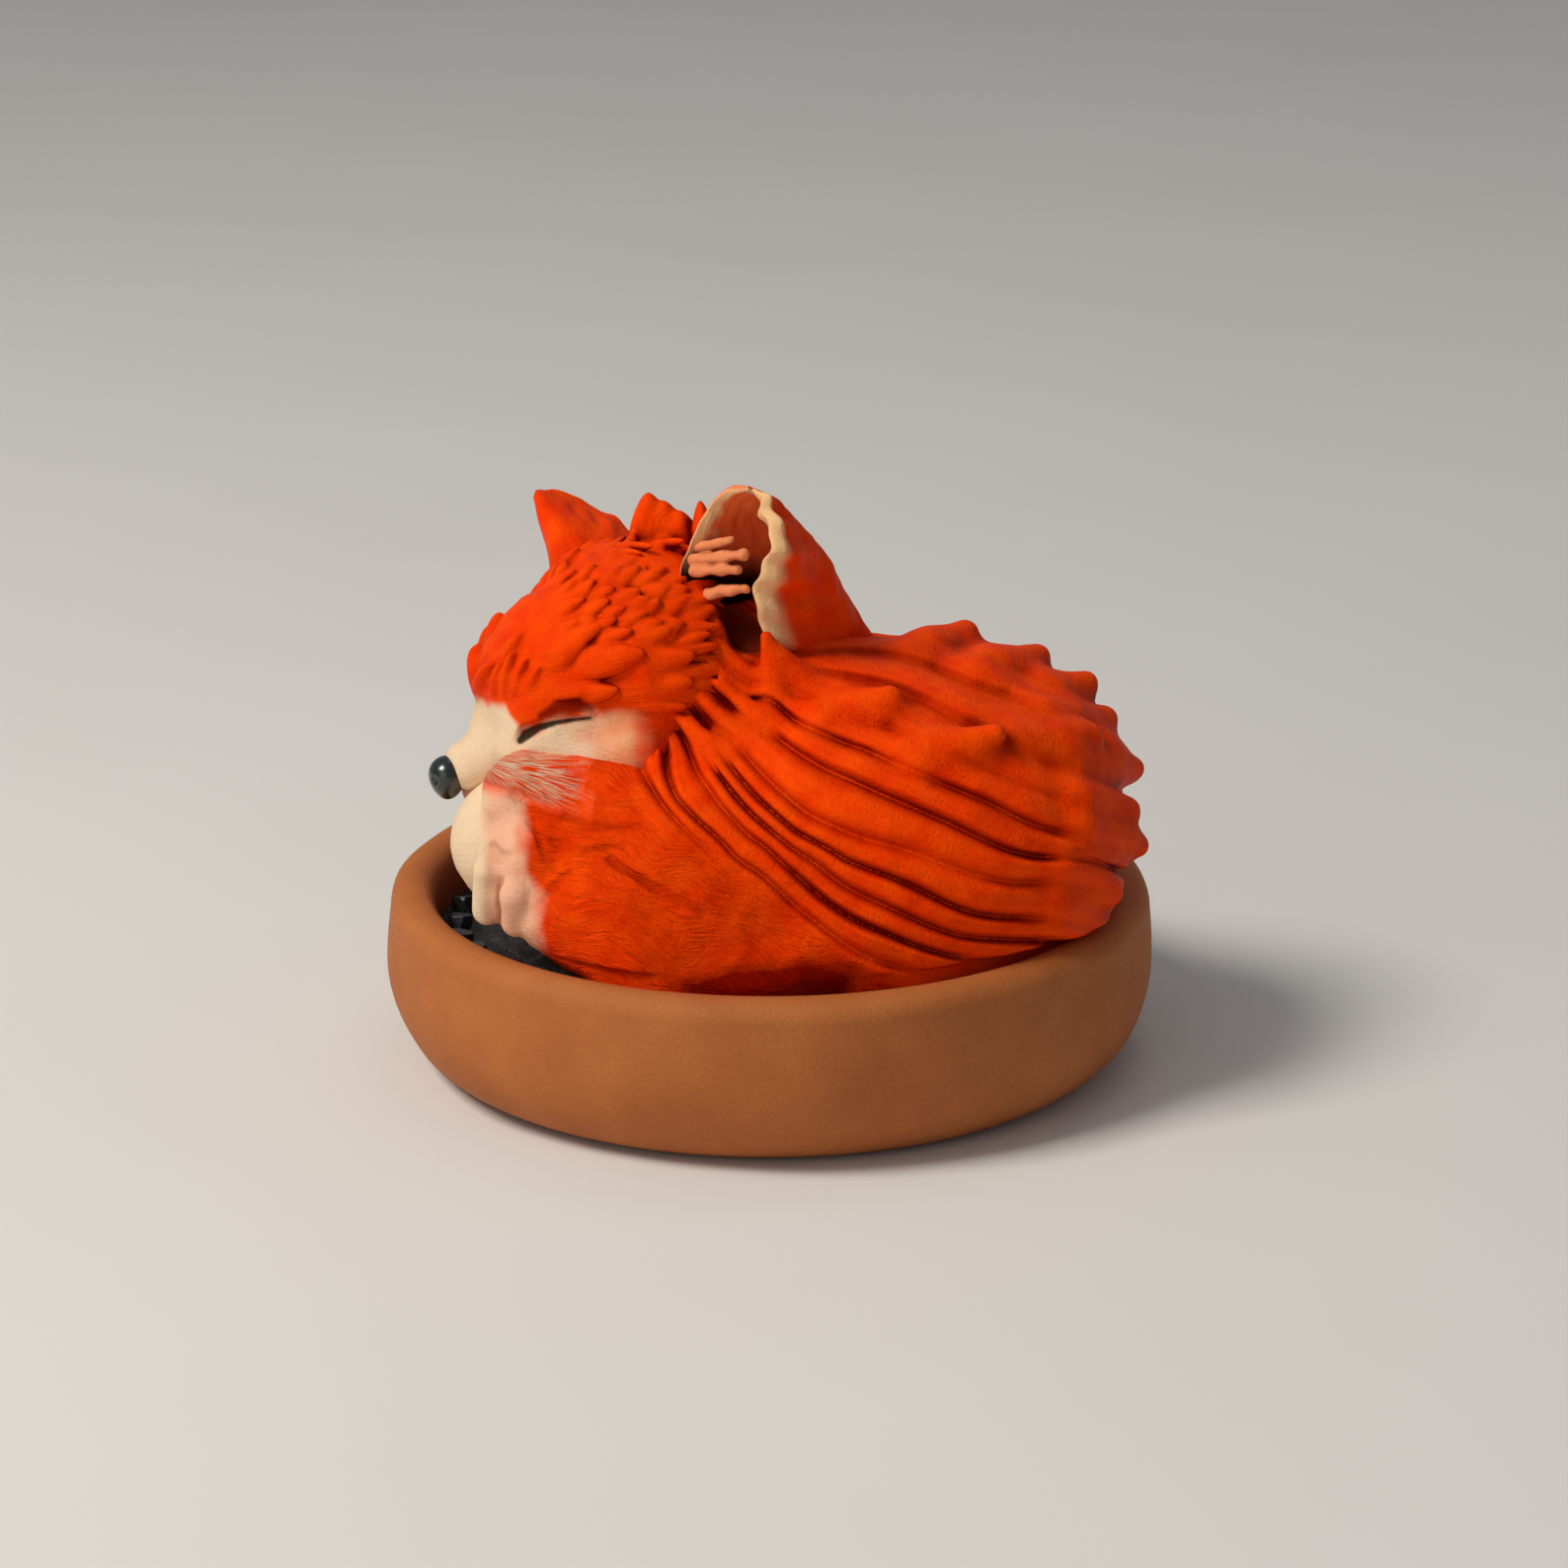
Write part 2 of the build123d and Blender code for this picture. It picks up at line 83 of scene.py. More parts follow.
# Where a line of sight meets a form, or passes closest to it, and the way out there
def spotOn(form, u, v):
    steps = shot["lookFrom"] + np.linspace(0, shot["lookReach"], shot["lookSteps"])
    spots = stand + np.outer(steps, sightLine(u, v))
    d = form(*spots.T)
    inside = np.nonzero(d < 0)[0]
    first = inside[0] if len(inside) else int(np.argmin(d))
    return spots[first], slopeOf(form, spots[first])


# Clay forms: distance to the surface, negative inside
leastSwell = 0.05  # keeps the distance finite at the middle of a form


def awayFrom(centre, x, y, z):
    return x - centre[0], y - centre[1], z - centre[2]


def along(way, x, y, z):
    return x * way[0] + y * way[1] + z * way[2]


# Distance to a rounded form, from how many times its size a point lies out
def swollen(away, swell):
    return np.sqrt(sum(gap * gap for gap in away)) * (1 - 1 / np.maximum(swell, leastSwell))


def roll(x, y, z, start, end, startRadius, endRadius):
    start = np.asarray(start, float)
    way = np.asarray(end, float) - start
    away = awayFrom(start, x, y, z)
    share = np.clip(along(way, *away) / (way @ way), 0, 1)
    gap = sum((away[i] - share * way[i]) ** 2 for i in range(3))
    return np.sqrt(gap) - (startRadius + (endRadius - startRadius) * share)


def egg(x, y, z, centre, toward, halfLength, radius):
    axis = unit(np.asarray(toward, float) - centre)
    away = awayFrom(centre, x, y, z)
    lengthwise = along(axis, *away) ** 2
    sideways = np.maximum(sum(gap * gap for gap in away) - lengthwise, 0)
    return swollen(away, np.sqrt(lengthwise / halfLength ** 2 + sideways / radius ** 2))


# Flat petal from root to tip, narrower toward the tip
def leaf(x, y, z, root, tip, out, wide, thick, point=0.35):
    lengthwise = unit(tip - root)
    across = unit(np.cross(out, lengthwise))
    up = np.cross(lengthwise, across)
    half = np.linalg.norm(tip - root) / 2
    away = awayFrom((root + tip) / 2, x, y, z)
    s = along(lengthwise, *away) / half
    w = along(across, *away) / (wide / 2) / (1 - point * np.clip(s, -1, 1))
    t = along(up, *away) / (thick / 2)
    return swollen(away, np.sqrt(s * s + w * w + t * t))


def join(a, b, soft):
    lap = np.maximum(soft - np.abs(a - b), 0) / soft
    return np.minimum(a, b) - lap * lap * soft / 4


def cut(a, b, soft):
    return -join(-a, b, soft)


def ease(low, high, value):
    share = np.clip((value - low) / (high - low), 0, 1)
    return share * share * (3 - 2 * share)


# Smooth line through a few points
def smoothLine(points, count):
    points = np.asarray(points, float)
    last = len(points) - 1
    padded = np.vstack([2 * points[0] - points[1], points, 2 * points[-1] - points[-2]])
    place = np.linspace(0, last, count)
    cell = np.minimum(place.astype(int), last - 1)
    t = (place - cell)[:, None]
    a, b, c, d = (padded[cell + i] for i in range(4))
    bend = (2 * a - 5 * b + 4 * c - d) * t ** 2 + (3 * b - a - 3 * c + d) * t ** 3
    return 0.5 * (2 * b + (c - a) * t + bend)


# Smooth unevenness of about unit size, the same on every run
def unevenness(x, y, z, span, seed, waves=8):
    dice = np.random.default_rng(seed)
    total = 0
    for _ in range(waves):
        way = unit(dice.normal(size=3)) * 2 * math.pi / (span * dice.uniform(0.75, 1.35))
        total = total + np.sin(along(way, x, y, z) + dice.uniform(0, 2 * math.pi))
    return total / math.sqrt(waves / 2)


# Clay blocks: value far from the clay, band that is meshed, depth of relief,
# and the distances at which a crease is felt for the painted crease shade, each with its weight
blockForm = {
    "far": 9.0, "band": 3.0, "relief": 1.6, "shadeReach": ((0.35, 0.35), (0.8, 0.4), (1.8, 0.25)),
}
lastCell = 1.001  # keeps a reading inside the last cell of a grid


# A block of clay: the distance to its surface, sampled on a grid
class ClayBlock:
    def __init__(self, low, high, grain):
        self.low, self.grain = np.array(low, float), grain
        count = np.ceil((np.array(high) - self.low) / grain).astype(int) + 1
        lines = [(self.low[i] + grain * np.arange(count[i])).astype(np.float32) for i in range(3)]
        self.lines = lines
        self.x, self.y, self.z = lines[0][:, None, None], lines[1][None, :, None], lines[2][None, None, :]
        self.field = np.full(count, blockForm["far"], np.float32)

    def fill(self, form, *args):
        self.field = form(self.x, self.y, self.z, *args).astype(np.float32)

    def window(self, points, margin):
        points = np.asarray(points)
        lowest = np.floor((points.min(0) - margin - self.low) / self.grain).astype(int)
        highest = np.ceil((points.max(0) + margin - self.low) / self.grain).astype(int) + 1
        return tuple(slice(max(a, 0), max(b, 0)) for a, b in zip(lowest, highest))

    # Works a form into the clay, within a margin around its points
    def work(self, blend, form, points, margin, soft, *args):
        part = self.window(points, margin)
        if min(self.field[part].shape) > 0:
            spots = self.x[part[0]], self.y[:, part[1]], self.z[:, :, part[2]]
            self.field[part] = blend(self.field[part], form(*spots, *args), soft)

    def add(self, *given):
        self.work(join, *given)

    def carve(self, *given):
        self.work(cut, *given)

    # Works in a row of rolls or leaves, each given by its two ends and sizes
    def workEach(self, blend, form, row, margin, soft):
        for given in row:
            self.work(blend, form, given[:2], margin, soft, *given)

    # Raises the surface by a height given for each point near it
    def emboss(self, height):
        i, j, k = np.nonzero(np.abs(self.field) < blockForm["relief"])
        self.field[i, j, k] -= height(self.lines[0][i], self.lines[1][j], self.lines[2][k])

    # Thumb marks: waves, each with a height, a span and a seed
    def roughen(self, waves):
        self.emboss(lambda x, y, z: sum(h * unevenness(x, y, z, span, seed) for h, span, seed in waves))

    def sample(self, points):
        place = (points - self.low) / self.grain
        place = np.clip(place, 0, np.array(self.field.shape) - lastCell)
        cell = place.astype(int)
        share = place - cell
        total = 0
        for corner in np.ndindex(2, 2, 2):
            weight = np.prod(np.where(corner, share, 1 - share), axis=1)
            i, j, k = (cell + corner).T
            total = total + weight * self.field[i, j, k]
        return total

    # Points, faces, the way out at each point, and how deep in a crease it lies, which sets its painted
    # shade
    def surface(self):
        band = blockForm["band"]
        grid = openvdb.FloatGrid(band)
        grid.copyFromArray(np.clip(self.field, -band, band))
        points, quads = grid.convertToQuads(0.0)[:2]
        points = self.low + np.asarray(points, float) * self.grain
        steps = self.grain * np.eye(3)
        outward = np.stack([self.sample(points + step) - self.sample(points - step) for step in steps], 1)
        outward /= np.maximum(np.linalg.norm(outward, axis=1, keepdims=True), 1e-6)
        hollow = 0
        for reach, weight in blockForm["shadeReach"]:
            hollow = hollow + weight * np.clip(1 - self.sample(points + outward * reach) / reach, 0, 1)
        return points, np.asarray(quads), outward, hollow


def makePiece(name, points, faces, body, nodes, material, outward=None, marks=None):
    mesh = bpy.data.meshes.new(name)
    faces = np.asarray(faces)
    corners = faces.shape[1]
    mesh.vertices.add(len(points))
    mesh.vertices.foreach_set("co", (np.asarray(points) / 1000).astype(np.float32).ravel())
    mesh.loops.add(faces.size)
    mesh.loops.foreach_set("vertex_index", faces.astype(np.int32).ravel())
    mesh.polygons.add(len(faces))
    mesh.polygons.foreach_set("loop_start", np.arange(0, faces.size, corners, dtype=np.int32))
    mesh.update(calc_edges=True)
    mesh.polygons.foreach_set("use_smooth", np.ones(len(faces), bool))
    for key, values in (marks or {}).items():
        values = np.asarray(values, np.float32)
        kind = ("FLOAT", "value") if values.ndim == 1 else ("FLOAT_VECTOR", "vector")
        layer = mesh.attributes.new(key, kind[0], "POINT")
        layer.data.foreach_set(kind[1], values.ravel())
    mesh.validate()
    if outward is not None:
        mesh.normals_split_custom_set_from_vertices(outward.tolist())
    piece = bpy.data.objects.new(name, mesh)
    bpy.context.scene.collection.objects.link(piece)
    mesh.materials.append(material)
    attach(piece, body)
    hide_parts(*nodes)


# A piece of the fox made from some faces of a larger skin
def makeShare(name, nodes, slot, material, points, faces, outward, marks):
    used, local = np.unique(faces, return_inverse=True)
    part = {key: value[used] for key, value in marks.items()}
    ways = None if outward is None else outward[used]
    makePiece(name, points[used], local.reshape(-1, 4), "fox", nodes, material, ways, part)


# One sculpted skin, cut into the pieces it was made from
def splitPieces(parts, label, points, quads, outward, marks):
    owner = label[quads].min(1)
    for number, part in enumerate(parts):
        faces = quads[owner == number]
        if len(faces) > 0:
            makeShare(*part, points, faces, outward, marks)


# Materials
def linear(red, green, blue):
    tone = [c / 255 for c in (red, green, blue)]
    return tuple(c / 12.92 if c <= 0.04045 else ((c + 0.055) / 1.055) ** 2.4 for c in tone) + (1.0,)


def newGroup(name, inputs, outputs):
    group = bpy.data.node_groups.new(name, "ShaderNodeTree")
    kinds = {"value": "NodeSocketFloat", "vector": "NodeSocketVector"}
    for label, kind, default in inputs:
        socket = group.interface.new_socket(name=label, in_out="INPUT", socket_type=kinds[kind])
        if default is not None:
            socket.default_value = default
    for label in outputs:
        group.interface.new_socket(name=label, in_out="OUTPUT", socket_type=kinds["value"])
    return group, group.nodes.new("NodeGroupInput"), group.nodes.new("NodeGroupOutput")


# A socket takes a fixed value or what another node puts out
def feed(tree, socket, value):
    if isinstance(value, (int, float, tuple)):
        socket.default_value = value
    else:
        tree.links.new(value, socket)


def setNode(tree, kind, **sockets):
    node = tree.nodes.new(kind)
    for key, value in sockets.items():
        feed(tree, node.inputs[key.replace("_", " ")], value)
    return node


def mathNode(tree, operation, a, b=None, clamp=False):
    node = tree.nodes.new("ShaderNodeMath")
    node.operation, node.use_clamp = operation, clamp
    feed(tree, node.inputs[0], a)
    if b is not None:
        feed(tree, node.inputs[1], b)
    return node.outputs[0]


def mixColour(tree, share, a, b):
    node = tree.nodes.new("ShaderNodeMix")
    node.data_type = "RGBA"
    for number, value in ((0, share), (6, a), (7, b)):
        feed(tree, node.inputs[number], value)
    return node.outputs[2]


def mapRange(tree, value, given=(0.0, 1.0), wanted=(0.0, 1.0)):
    ends = {"From_Min": given[0], "From_Max": given[1], "To_Min": wanted[0], "To_Max": wanted[1]}
    return setNode(tree, "ShaderNodeMapRange", Value=value, **ends).outputs[0]


def noiseNode(tree, place, scale, detail, rough=0.5, distortion=0.0):
    sockets = {"Scale": scale, "Detail": detail, "Roughness": rough, "Distortion": distortion}
    return setNode(tree, "ShaderNodeTexNoise", Vector=place, **sockets).outputs[0]


def addBump(tree, shader, height, strength, depth):
    bump = setNode(tree, "ShaderNodeBump", Height=height, Strength=strength, Distance=depth)
    tree.links.new(bump.outputs[0], shader.inputs["Normal"])


# Pores, thumb marks and mottling of fired or baked clay
def clayGrainGroup():
    scales = [("Pore Scale", "value", 2600.0), ("Lump Scale", "value", 420.0)]
    group, given, result = newGroup("clayGrain", scales, ["Height", "Mottle"])
    place = group.nodes.new("ShaderNodeTexCoord").outputs["Object"]
    pores = noiseNode(group, place, given.outputs["Pore Scale"], 4.0, 0.6)
    lumps = noiseNode(group, place, given.outputs["Lump Scale"], 3.0, 0.55)
    pits = setNode(group, "ShaderNodeTexVoronoi", Vector=place, Scale=given.outputs["Pore Scale"])
    pit = mathNode(group, "SUBTRACT", 0.35, pits.outputs["Distance"], True)
    raised = mathNode(group, "MULTIPLY", pores, 0.7)
    raised = mathNode(group, "ADD", raised, mathNode(group, "MULTIPLY", lumps, 0.9))
    height = mathNode(group, "SUBTRACT", raised, mathNode(group, "MULTIPLY", pit, 1.6))
    group.links.new(height, result.inputs["Height"])
    group.links.new(lumps, result.inputs["Mottle"])
    return group


# Fine needle strokes that follow the lie of the fur
def furStrokeGroup():
    inputs = [("Flow", "vector", None), ("Across", "value", 3.2), ("Along", "value", 0.35)]
    group, given, result = newGroup("furStroke", inputs, ["Height", "Streak"])
    lie = setNode(group, "ShaderNodeSeparateXYZ", Vector=given.outputs["Flow"])
    across = mathNode(group, "MULTIPLY", lie.outputs[0], given.outputs["Across"])
    lengthwise = mathNode(group, "MULTIPLY", lie.outputs[1], given.outputs["Along"])
    spread = setNode(group, "ShaderNodeCombineXYZ", X=across, Y=lengthwise)
    strokes = noiseNode(group, spread.outputs[0], 1.0, 2.5, 0.55, 0.25)
    ridge = mathNode(group, "ABSOLUTE", mathNode(group, "SUBTRACT", strokes, 0.5))
    group.links.new(mathNode(group, "MULTIPLY", ridge, 3.2, True), result.inputs["Height"])
    group.links.new(strokes, result.inputs["Streak"])
    return group


grainGroup = clayGrainGroup()
strokeGroup = furStrokeGroup()


def newMaterial(name):
    material = bpy.data.materials.new(name)
    material.use_nodes = True
    tree = material.node_tree
    return material, tree, tree.nodes["Principled BSDF"]


def markNode(tree, name):
    node = tree.nodes.new("ShaderNodeAttribute")
    node.attribute_name = name
    return node


def markOf(tree, name):
    return markNode(tree, name).outputs["Fac"]


def useGroup(tree, group, **values):
    node = tree.nodes.new("ShaderNodeGroup")
    node.node_tree = group
    for key, value in values.items():
        node.inputs[key.replace("_", " ")].default_value = value
    return node


# Fox clay: where in the noise a tone sets in, and how the surface takes the light
foxFinish = {
    "mottle": (0.35, 0.65), "streak": (0.53, 0.73), "streakDepth": 0.36, "paleFur": (0.42, 0.58),
    "polish": (0.3, 0.7), "smoother": 0.07, "rougher": 0.1, "shortAcross": 4.2, "shortAlong": 0.5,
    "bump": 0.75, "bumpDepth": 0.00022, "specular": 0.06, "glow": 0.08,
    "glowReach": (0.0012, 0.0005, 0.0003),
}


# Orange clay, brushed to cream and pink, with painted shade in the creases
def foxClay(name, tones, strokes, pores, rough=0.46):
    f = foxFinish
    material, tree, shader = newMaterial(name)
    grain = useGroup(tree, grainGroup)
    fur = useGroup(tree, strokeGroup)
    short = useGroup(tree, strokeGroup, Across=f["shortAcross"], Along=f["shortAlong"])
    for group, key in ((fur, "flow"), (short, "shortFlow")):
        tree.links.new(markNode(tree, key).outputs["Vector"], group.inputs["Flow"])
    mottle, streak = grain.outputs["Mottle"], short.outputs["Streak"]
    shortCoat = markOf(tree, "shortCoat")
    paint = mixColour(tree, mapRange(tree, mottle, f["mottle"]), tones["base"], tones["warm"])
    furShade = mapRange(tree, streak, f["streak"], (0.0, f["streakDepth"]))
    paint = mixColour(tree, mathNode(tree, "MULTIPLY", furShade, shortCoat), paint, tones["deep"])
    paleFur = mathNode(tree, "MULTIPLY", markOf(tree, "fan"), mapRange(tree, streak, f["paleFur"]))
    paint = mixColour(tree, paleFur, paint, tones["cream"])
    for mark in ("peach", "blush", "cream"):
        paint = mixColour(tree, markOf(tree, mark), paint, tones[mark])
    # painted shade: creases take the deep tone of the colour around them
    crease = mathNode(tree, "MULTIPLY", markOf(tree, "hollow"), tones["crease"], True)
    creaseShadeTone = mixColour(tree, markOf(tree, "cream"), tones["deep"], tones["creamCreaseShade"])
    paint = mixColour(tree, crease, paint, creaseShadeTone)
    paint = mixColour(tree, markOf(tree, "dark"), paint, tones["dark"])
    tree.links.new(paint, shader.inputs["Base Color"])
    polish = mapRange(tree, mottle, f["polish"], (rough - f["smoother"], rough + f["rougher"]))
    tree.links.new(polish, shader.inputs["Roughness"])
    combedFur = mathNode(tree, "MULTIPLY", fur.outputs["Height"], strokes)
    shortFur = mathNode(tree, "MULTIPLY", short.outputs["Height"], shortCoat)
    porous = mathNode(tree, "MULTIPLY", grain.outputs["Height"], pores)
    height = mathNode(tree, "ADD", mathNode(tree, "ADD", combedFur, shortFur), porous)
    addBump(tree, shader, height, f["bump"], f["bumpDepth"])
    shader.inputs["Specular IOR Level"].default_value = f["specular"]
    shader.inputs["Specular Tint"].default_value = tones["sheen"]
    shader.inputs["Subsurface Weight"].default_value = f["glow"]
    shader.inputs["Subsurface Radius"].default_value = f["glowReach"]
    return material


# crease sets how strongly the painted shade darkens the creases
foxTones = {
    "base": linear(237, 55, 1), "warm": linear(247, 74, 4), "deep": linear(128, 9, 0),
    "peach": linear(236, 150, 92), "blush": linear(238, 168, 136), "cream": linear(234, 207, 172),
    "creamCreaseShade": linear(192, 128, 86), "dark": linear(24, 10, 8), "sheen": linear(255, 150, 90),
    "crease": 0.85,
}
coatTones = {**foxTones, "crease": 1.2}
ruffTones = {**foxTones, "base": linear(232, 58, 3), "crease": 1.4}
earTones = {**foxTones, "blush": linear(252, 122, 66), "cream": linear(234, 188, 136)}
coatClay = foxClay("coatClay", coatTones, strokes=0.16, pores=0.65)
faceClay = foxClay("faceClay", foxTones, strokes=0.22, pores=0.4)
ruffClay = foxClay("ruffClay", ruffTones, strokes=0.3, pores=0.35)
pawClay = foxClay("pawClay", foxTones, strokes=0.15, pores=0.45, rough=0.5)
earClay = foxClay("earClay", earTones, strokes=0.2, pores=0.45, rough=0.44)


def noseGlaze():
    material, tree, shader = newMaterial("noseGlaze")
    grain = useGroup(tree, grainGroup, Pore_Scale=1900.0, Lump_Scale=700.0)
    tone = mixColour(tree, grain.outputs["Mottle"], linear(8, 14, 14), linear(30, 44, 42))
    tree.links.new(tone, shader.inputs["Base Color"])
    polish = mapRange(tree, grain.outputs["Mottle"], wanted=(0.16, 0.34))
    tree.links.new(polish, shader.inputs["Roughness"])
    shader.inputs["Coat Weight"].default_value = 0.6
    shader.inputs["Coat Roughness"].default_value = 0.12
    return material


dishTones = {
    "low": linear(170, 95, 43), "high": linear(184, 107, 52), "fleck": linear(150, 86, 42),
    "rub": linear(196, 62, 40), "shade": linear(120, 66, 30),
}


# Tan clay with fine flecks, red rubbed off on the lip, and painted shade in the well
def dishClay():
    material, tree, shader = newMaterial("dishClay")
    grain = useGroup(tree, grainGroup, Pore_Scale=3600.0, Lump_Scale=160.0)
    mottle = mapRange(tree, grain.outputs["Mottle"], (0.3, 0.7))
    paint = mixColour(tree, mottle, dishTones["low"], dishTones["high"])
    place = tree.nodes.new("ShaderNodeTexCoord").outputs["Object"]
    fine = noiseNode(tree, place, 5200.0, 2.0)
    paint = mixColour(tree, mapRange(tree, fine, (0.58, 0.74), (0.0, 0.5)), paint, dishTones["fleck"])
    patches = mathNode(tree, "SUBTRACT", noiseNode(tree, place, 900.0, 4.0), 0.43, True)
    patches = mathNode(tree, "MULTIPLY", patches, 7.0, True)
    rub = mathNode(tree, "MULTIPLY", markOf(tree, "rub"), patches, True)
    paint = mixColour(tree, rub, paint, dishTones["rub"])
    shade = mathNode(tree, "MULTIPLY", markOf(tree, "hollow"), 0.5)
    paint = mixColour(tree, shade, paint, dishTones["shade"])
    tree.links.new(paint, shader.inputs["Base Color"])
    tree.links.new(mapRange(tree, fine, wanted=(0.58, 0.8)), shader.inputs["Roughness"])
    height = mathNode(tree, "ADD", grain.outputs["Height"], mathNode(tree, "MULTIPLY", fine, 0.5))
    addBump(tree, shader, height, 0.4, 0.00016)
    shader.inputs["Specular IOR Level"].default_value = 0.3
    return material


# Dark stone, and by its tones the foil of the core
def darkStone(name, low, high, rough, depth):
    material, tree, shader = newMaterial(name)
    grain = useGroup(tree, grainGroup, Pore_Scale=1500.0, Lump_Scale=500.0)
    tree.links.new(mixColour(tree, grain.outputs["Mottle"], low, high), shader.inputs["Base Color"])
    polish = mapRange(tree, grain.outputs["Mottle"], wanted=(rough - 0.12, rough + 0.15))
    tree.links.new(polish, shader.inputs["Roughness"])
    addBump(tree, shader, grain.outputs["Height"], 0.6, depth)
    return material


noseCoat = noseGlaze()
dishCoat = dishClay()
bedCoat = darkStone("bedCoat", linear(20, 18, 18), linear(46, 40, 38), 0.5, 0.0004)
stoneCoat = darkStone("stoneCoat", linear(22, 25, 27), linear(62, 68, 70), 0.26, 0.0002)
foilCoat = darkStone("foilCoat", linear(150, 152, 156), linear(205, 206, 210), 0.3, 0.0005)
foilCoat.node_tree.nodes["Principled BSDF"].inputs["Metallic"].default_value = 1.0
print("materials made")

# Dish: turned, then softened by hand on the outside; rub marks between two turns of the lip, in degrees
dishForm = {
    "radius": 30.0, "height": 13.6, "foot": 24.4, "footEase": 0.8, "wide": 7.4, "lip": 27.9,
    "lipThick": 3.6, "lipDrop": 1.7, "flare": 1.7, "wellFloor": 4.0, "wellEase": 0.3, "segments": 320,
    "wobble": 0.10, "sag": 0.06, "rubFrom": -122.0, "rubTo": -88.0, "rubFade": 10,
    "rubReach": (28.2, 27.0), "wellShade": (26.4, 26.2),
}
lipBase = dishForm["height"] - dishForm["lipDrop"]
axisGap = 0.02  # a turned outline stops this far from its axis


def turned(outline, segments):
    reach, height = np.array(outline).T[:, :, None]
    turns = np.linspace(0, 2 * math.pi, segments, endpoint=False)
    points = np.stack([reach * np.cos(turns), reach * np.sin(turns), np.repeat(height, segments, 1)], -1)
    rows = np.arange(len(outline) - 1)[:, None] * segments
    columns = np.arange(segments)
    after = (columns + 1) % segments
    quads = np.stack([rows + columns, rows + after, rows + segments + after, rows + segments + columns], -1)
    return points.reshape(-1, 3), quads.reshape(-1, 4)


# Half section of the dish, from under its middle around the lip to the floor of the well
def dishOutline():
    d = dishForm
    well = d["lip"] - d["lipThick"] / 2
    outer = d["lip"] + d["lipThick"] / 2
    outline = [(r, 0.0) for r in np.linspace(axisGap, d["foot"] - d["footEase"], 12)]
    for turn in np.radians(np.linspace(-90, 0, 26)):
        reach = d["foot"] + (d["radius"] - d["foot"]) * math.cos(turn)
        outline.append((reach, d["wide"] * (1 + math.sin(turn))))
    for share in np.linspace(0, 1, 10)[1:-1]:
        reach = d["radius"] + (outer - d["radius"]) * share ** d["flare"]
        outline.append((reach, d["wide"] + (lipBase - d["wide"]) * share))
    for turn in np.radians(np.linspace(0, 180, 28)):
        reach = d["lip"] + d["lipThick"] / 2 * math.cos(turn)
        outline.append((reach, lipBase + d["lipDrop"] * math.sin(turn)))
    outline += [(well, h) for h in np.linspace(lipBase, d["wellFloor"] + d["wellEase"], 10)[1:]]
    outline += [(r, d["wellFloor"]) for r in np.linspace(well - d["wellEase"], axisGap, 10)]
    return outline


def buildDish():
    d = dishForm
    points, quads = turned(dishOutline(), d["segments"])
    x, y, z = points.T
    reach = np.hypot(x, y)
    outside = ease(d["lip"] - 0.6, d["lip"] + 1.2, reach) * ease(0.2, 2.0, z)
    push = d["wobble"] * outside * (unevenness(x, y, z, 26, 3) + 0.5 * unevenness(x, y, z, 9, 4))
    points[:, 0] += x / reach * push
    points[:, 1] += y / reach * push
    top = ease(0.8, 1.0, (z - lipBase) / d["lipDrop"])
    points[:, 2] += d["sag"] * top * np.minimum(unevenness(x, y, z, 18, 5), 0)
    turn = np.degrees(np.arctan2(y, x))
    rub = ease(d["rubFrom"], d["rubFrom"] + d["rubFade"], turn)
    rub = rub * ease(d["rubTo"], d["rubTo"] - d["rubFade"], turn)
    rub = rub * ease(*d["rubReach"], reach) * ease(lipBase - 0.6, lipBase + 0.4, z)
    # painted shade on the wall of the well below the lip
    marks = {"rub": rub, "hollow": ease(lipBase, lipBase - 2, z) * ease(*d["wellShade"], reach)}
    makePiece("clayDish", points, quads, "dish", ["dish"], dishCoat, None, marks)


buildDish()
print("dish turned")

# Dark bed and the slabs of stone in the open end of it
bedForm = {
    "radius": 26.05, "floor": 4.0, "top": 9.6, "edgeDrop": 0.5, "skinDrop": 0.45, "edgeGap": 0.15,
    "topFade": 0.7, "rough": 0.16, "tallest": 0.4, "segments": 240,
}


def buildBed():
    b = bedForm
    outline = [(r, b["floor"]) for r in np.linspace(axisGap, b["radius"], 6)]
    outline += [(b["radius"], h) for h in np.linspace(b["floor"], b["top"] - b["edgeDrop"], 5)[1:]]
    outline += [(r, b["top"] - b["skinDrop"]) for r in np.linspace(b["radius"] - b["edgeGap"], axisGap, 60)]
    points, quads = turned(outline, b["segments"])
    x, y, z = points.T
    top = ease(b["top"] - b["topFade"], b["top"] - b["edgeDrop"], z)
    top = top * ease(b["radius"], b["radius"] - 1.0, np.hypot(x, y))
    lumps = b["rough"] * (unevenness(x, y, z, 2.6, 11) + 0.6 * unevenness(x, y, z, 1.1, 12))
    points[:, 2] += top * np.clip(lumps, -b["tallest"], b["tallest"])
    makePiece("darkBed", points, quads, "dish", ["bed"], bedCoat)


# Stones along a ring between two turns in degrees; sizes as shares of the largest
stoneForm = {
    "ring": 24.2, "from": 126.0, "to": 226.0, "count": 12, "size": 1.75, "usual": 0.82, "spread": 0.18,
    "raised": 0.2, "narrow": 0.72, "facets": 6, "chip": (0.45, 0.75), "flatTop": 0.34, "soft": 0.05,
    "low": (-27, -23, 8.6), "high": (-10, 23, 13.2), "grain": 0.09,
}


# A stone: an egg chipped flat on a few sides
def chipShape(x, y, z, centre, way, size, facets, depths):
    form = egg(x, y, z, centre, centre + way, size, size * stoneForm["narrow"])
    for facet, depth in zip(facets, depths):
        form = np.maximum(form, along(facet, *awayFrom(centre, x, y, z)) - depth)
    return form


